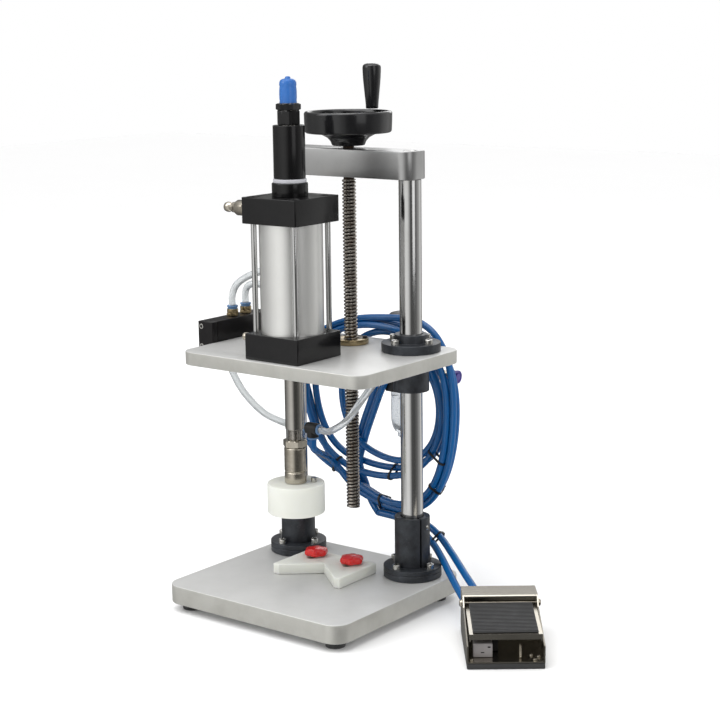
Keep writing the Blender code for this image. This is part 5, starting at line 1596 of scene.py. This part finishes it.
bowlMesh = latheMesh("bowl", [
    (0.0, 0.1400), (0.0040, 0.1400), (0.0040, 0.1372), (0.0075, 0.1372), (0.0080, 0.1420), (0.0110, 0.1440),
    (0.0138, 0.1490, bowlRib), (0.0152, 0.1560, bowlRib), (0.0155, 0.1640, bowlRib),
    (0.0155, 0.1820, bowlRib),
    (0.0150, 0.1850), (0.0155, 0.1860), (0.0155, 0.1921), (0.0, 0.1921),
], sides=128)
addPiece(
    "regulatorBowl", bowlMesh, "carriage", [finishes["clearBowl"]], place=regulator["axis"],
    replaces=("regulator_bowl",), slot="clear_bowl",
)

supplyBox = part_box("supply_fitting")
supplyLength = supplyBox[1].x - supplyBox[0].x
ringFrom = supplyLength - 0.0105
supplyBody = turned("supplyBody", [
    (0.0, 0.0), (0.0074, 0.0), (0.0074, 0.0120), (0.0060, 0.0128), (0.0060, ringFrom), (0.0, ringFrom),
], edge=0.0005, sides=48)
supplyRing = turned("supplyRing", [
    (0.0, supplyLength), (0.0040, supplyLength), (0.0040, supplyLength - 0.0020),
    (0.0042, supplyLength - 0.0020), (0.0076, supplyLength), (0.0078, supplyLength - 0.0020),
    (0.0070, supplyLength - 0.0050), (0.0078, supplyLength - 0.0090), (0.0070, ringFrom), (0.0, ringFrom),
], edge=0.0004, sides=48)
supplyEnd = centreOf("supply_fitting")
supplyEnd.x = supplyBox[0].x
addPiece(
    "supplyFitting", joined("supplyFitting", [(supplyBody, still), (supplyRing, still, 1)]), "carriage",
    [finishes["nickelTurned"], finishes["collarViolet"]], place=pointing((1, 0, 0), supplyEnd),
    replaces=("supply_fitting",), slot="nickel",
)

collarDepth = 0.0022
teeReach = (teeHigh.x - teeLow.x) / 2 - collarDepth
teeRadius = teeHigh.z - tee.z
teeDrop = tee.z - teeLow.z - collarDepth
teeArm = turned("teeArm", [
    (0.0, -teeReach), (teeRadius, -teeReach), (teeRadius, teeReach), (0.0, teeReach),
], edge=0.0008, sides=48)
teeLeg = turned("teeLeg", [
    (0.0, 0.0), (teeRadius * 0.97, 0.0), (teeRadius * 0.97, teeDrop), (0.0, teeDrop),
], edge=0.0008, sides=48)
teeCollar = turned("teeCollar", [
    (0.0, collarDepth), (teeRadius * 0.88, collarDepth), (teeRadius * 0.92, 0.0006), (teeRadius * 0.80, 0.0),
    (teeRadius * 0.80, -0.0010), (0.0, -0.0010),
], edge=0.0003, sides=48)
teeParts = [(teeArm, pointing((1, 0, 0))), (teeLeg, pointing((0, 0, -1)))]
for way, distance in (((1, 0, 0), teeReach), ((-1, 0, 0), teeReach), ((0, 0, -1), teeDrop)):
    teeParts.append((teeCollar, pointing(way, Vector(way) * distance), 1))
addPiece(
    "hoseTee", joined("teeMesh", teeParts), "carriage", [finishes["plasticBlack"], finishes["collarBlue"]],
    place=tee, replaces=("hose_tee",), slot="black_plastic",
)
print("valve, regulator and tee detailed")


# ---- bottle locator and its star knobs

locator = {
    "z": (0.0003, 0.0123), "front": -0.016, "back": 0.052, "half": 0.048, "tip": 0.040, "apex": 0.0165,
    "knobX": 0.026, "knobY": 0.035, "slotRadius": 0.0044, "slot": (0.0210, 0.0410),
}
block = [
    (-locator["half"], locator["front"]), (-locator["tip"], locator["front"]), (-0.0010, 0.0160),
    (0.0, locator["apex"]), (0.0010, 0.0160), (locator["tip"], locator["front"]),
    (locator["half"], locator["front"]), (locator["half"], locator["back"]),
    (-locator["half"], locator["back"]),
]
slotRadius = locator["slotRadius"]
slotLow, slotHigh = locator["slot"][0] + slotRadius, locator["slot"][1] - slotRadius
arc = [math.radians(180 - 15 * step) for step in range(13)]
slots = []
for x in (-locator["knobX"], locator["knobX"]):
    slots.append(
        [(x + slotRadius * math.cos(a), slotHigh + slotRadius * math.sin(a)) for a in arc]
        + [(x - slotRadius * math.cos(a), slotLow - slotRadius * math.sin(a)) for a in arc]
    )
blockMesh = slabMesh("locatorBlock", [block, *slots], *locator["z"], edge=0.0007)
addPiece(
    "bottleLocator", blockMesh, "locator", [finishes["nylonMilky"]], replaces=("bottle_locator",),
    slot="nylon",
)


def star(angle):
    return 0.935 + 0.065 * math.cos(6 * angle)


starMesh = latheMesh("star", [
    (0.0, 0.0221), (0.0062, 0.0220), (0.0078, 0.0215), (0.0106, 0.0211, star), (0.0130, 0.0200, star),
    (0.0140, 0.0180, star), (0.0140, 0.0158, star), (0.0128, 0.0140, star), (0.0095, 0.0134),
    (0.0080, 0.0132), (0.0076, 0.0127), (0.0, 0.0127),
], sides=120)
washer = turned("washer", [(0.0, 0.0132), (0.0088, 0.0132), (0.0088, 0.0126), (0.0, 0.0126)], edge=0.0002)
for side, x in (("Left", -locator["knobX"]), ("Right", locator["knobX"])):
    name = "starKnob" + side
    addPiece(
        name, joined(name, [(starMesh, still), (washer, still, 1)]), "knob_" + side.lower(),
        [finishes["starRed"], finishes["steelBright"]], place=(x, locator["knobY"], 0),
        replaces=("locator_knob_" + side.lower(),), slot="red_plastic",
    )


# ---- foot pedal, in its own turned frame

pedal = {
    "half": 0.040, "hinge": (0, 0.084, 0.042), "treadle": (0, 0.0020, 0.0370), "treadleTilt": 4.5,
    "ribs": 21, "ribStep": 0.0034, "firstRib": 0.0050,
}
padTilt = (
    pedalFrame @ Matrix.Translation(pedal["treadle"])
    @ Matrix.Rotation(math.radians(pedal["treadleTilt"]), 4, "X")
)
padBase = boxMesh("padBase", (-0.0335, 0.0030, 0.0003), (0.0335, 0.0740, 0.0016), edge=0.0005)
rib = boxMesh("padRib", (-0.0330, -0.0011, 0.0014), (0.0330, 0.0011, 0.0025), edge=0.0004, steps=2)
padRibs = [(rib, (0, pedal["firstRib"] + pedal["ribStep"] * i, 0)) for i in range(pedal["ribs"])]
addPiece(
    "treadlePad", joined("treadlePad", [(padBase, still), *padRibs]), "treadle", [finishes["rubberBlack"]],
    place=padTilt, replaces=("treadle_pad",), slot="black_rubber",
)

soleOutline = roundRect((-pedal["half"], 0.0), (pedal["half"], pedalLength), 0.0020, steps=4)
addPiece(
    "pedalSole", slabMesh("pedalSole", [soleOutline], 0.0001, 0.0060, edge=0.0008), "frame",
    [finishes["rubberBlack"]], place=pedalFrame, replaces=("pedal_sole",), slot="black_rubber",
)

pinEnd = [(0.0022, 0.0434), (0.0036, 0.0426), (0.0040, 0.0414), (0.0040, 0.0404), (0.0025, 0.0402)]
pinProfile = [(0.0, 0.0435), *pinEnd, *[(r, -z) for r, z in reversed(pinEnd)], (0.0, -0.0435)]
addPiece(
    "pedalPin", latheMesh("pinHead", pinProfile, sides=40), "frame", [finishes["nickelTurned"]],
    place=pedalFrame @ Matrix.Translation(pedal["hinge"]) @ Matrix.Rotation(math.radians(90), 4, "Y"),
    replaces=("pedal_pin",), slot="nickel",
)

switchParts = [
    (boxMesh("switchCase", (-0.0300, 0.0300, 0.0083), (-0.0060, 0.0920, 0.0240), edge=0.0008), still),
    (boxMesh("switchFace", (-0.0330, 0.0130, 0.0083), (-0.0130, 0.0297, 0.0232), edge=0.0008), still, 1),
]
for name, low, high in (
    ("switchSlot", (-0.0250, 0.0127, 0.0130), (-0.0215, 0.0132, 0.0140)),
    ("switchSlotHigh", (-0.0180, 0.0127, 0.0185), (-0.0150, 0.0132, 0.0200)),
):
    switchParts.append((boxMesh(name, low, high, edge=0.0002, steps=1), still))
addPiece(
    "pedalValve", joined("pedalValve", switchParts), "frame",
    [finishes["blackAnodised"], finishes["switchGrey"]], place=pedalFrame, replaces=("pedal_valve",),
    slot="black_anodised",
)

stemMesh = threadMesh("springStem", 0.0085, 0.0225, 0.0019, 0.0013, 0.0022, sides=24, rows=8)
smallScrew = latheMesh("smallScrew", [
    (0.0, 0.0012), (0.0004, 0.0012), (0.0005, 0.0016), (0.0022, 0.0014), (0.0026, 0.0006), (0.0026, 0.0),
    (0.0, 0.0),
], sides=32)
screwSpots = ((0.0300, 0.0060), (0.0345, 0.0140), (0.0270, 0.0180), (-0.0350, 0.0060))
pedalBits = [(stemMesh, (0.0155, 0.0120, 0)), *[(smallScrew, (x, y, 0.0082)) for x, y in screwSpots]]
addPiece(
    "pedalStem", joined("pedalStem", pedalBits), "frame", [finishes["nickelTurned"]], place=pedalFrame,
    slot="nickel",
)
print("locator and pedal detailed")


# ---- finishes of the solids whose shape is already right

nodeFinish = {"rubberBlack": ["piston"], "pedalSheet": ["pedal_housing", "treadle"]}
for finish, nodes in nodeFinish.items():
    for node in nodes:
        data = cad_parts[node].data
        data.materials.clear()
        data.materials.append(finishes[finish])
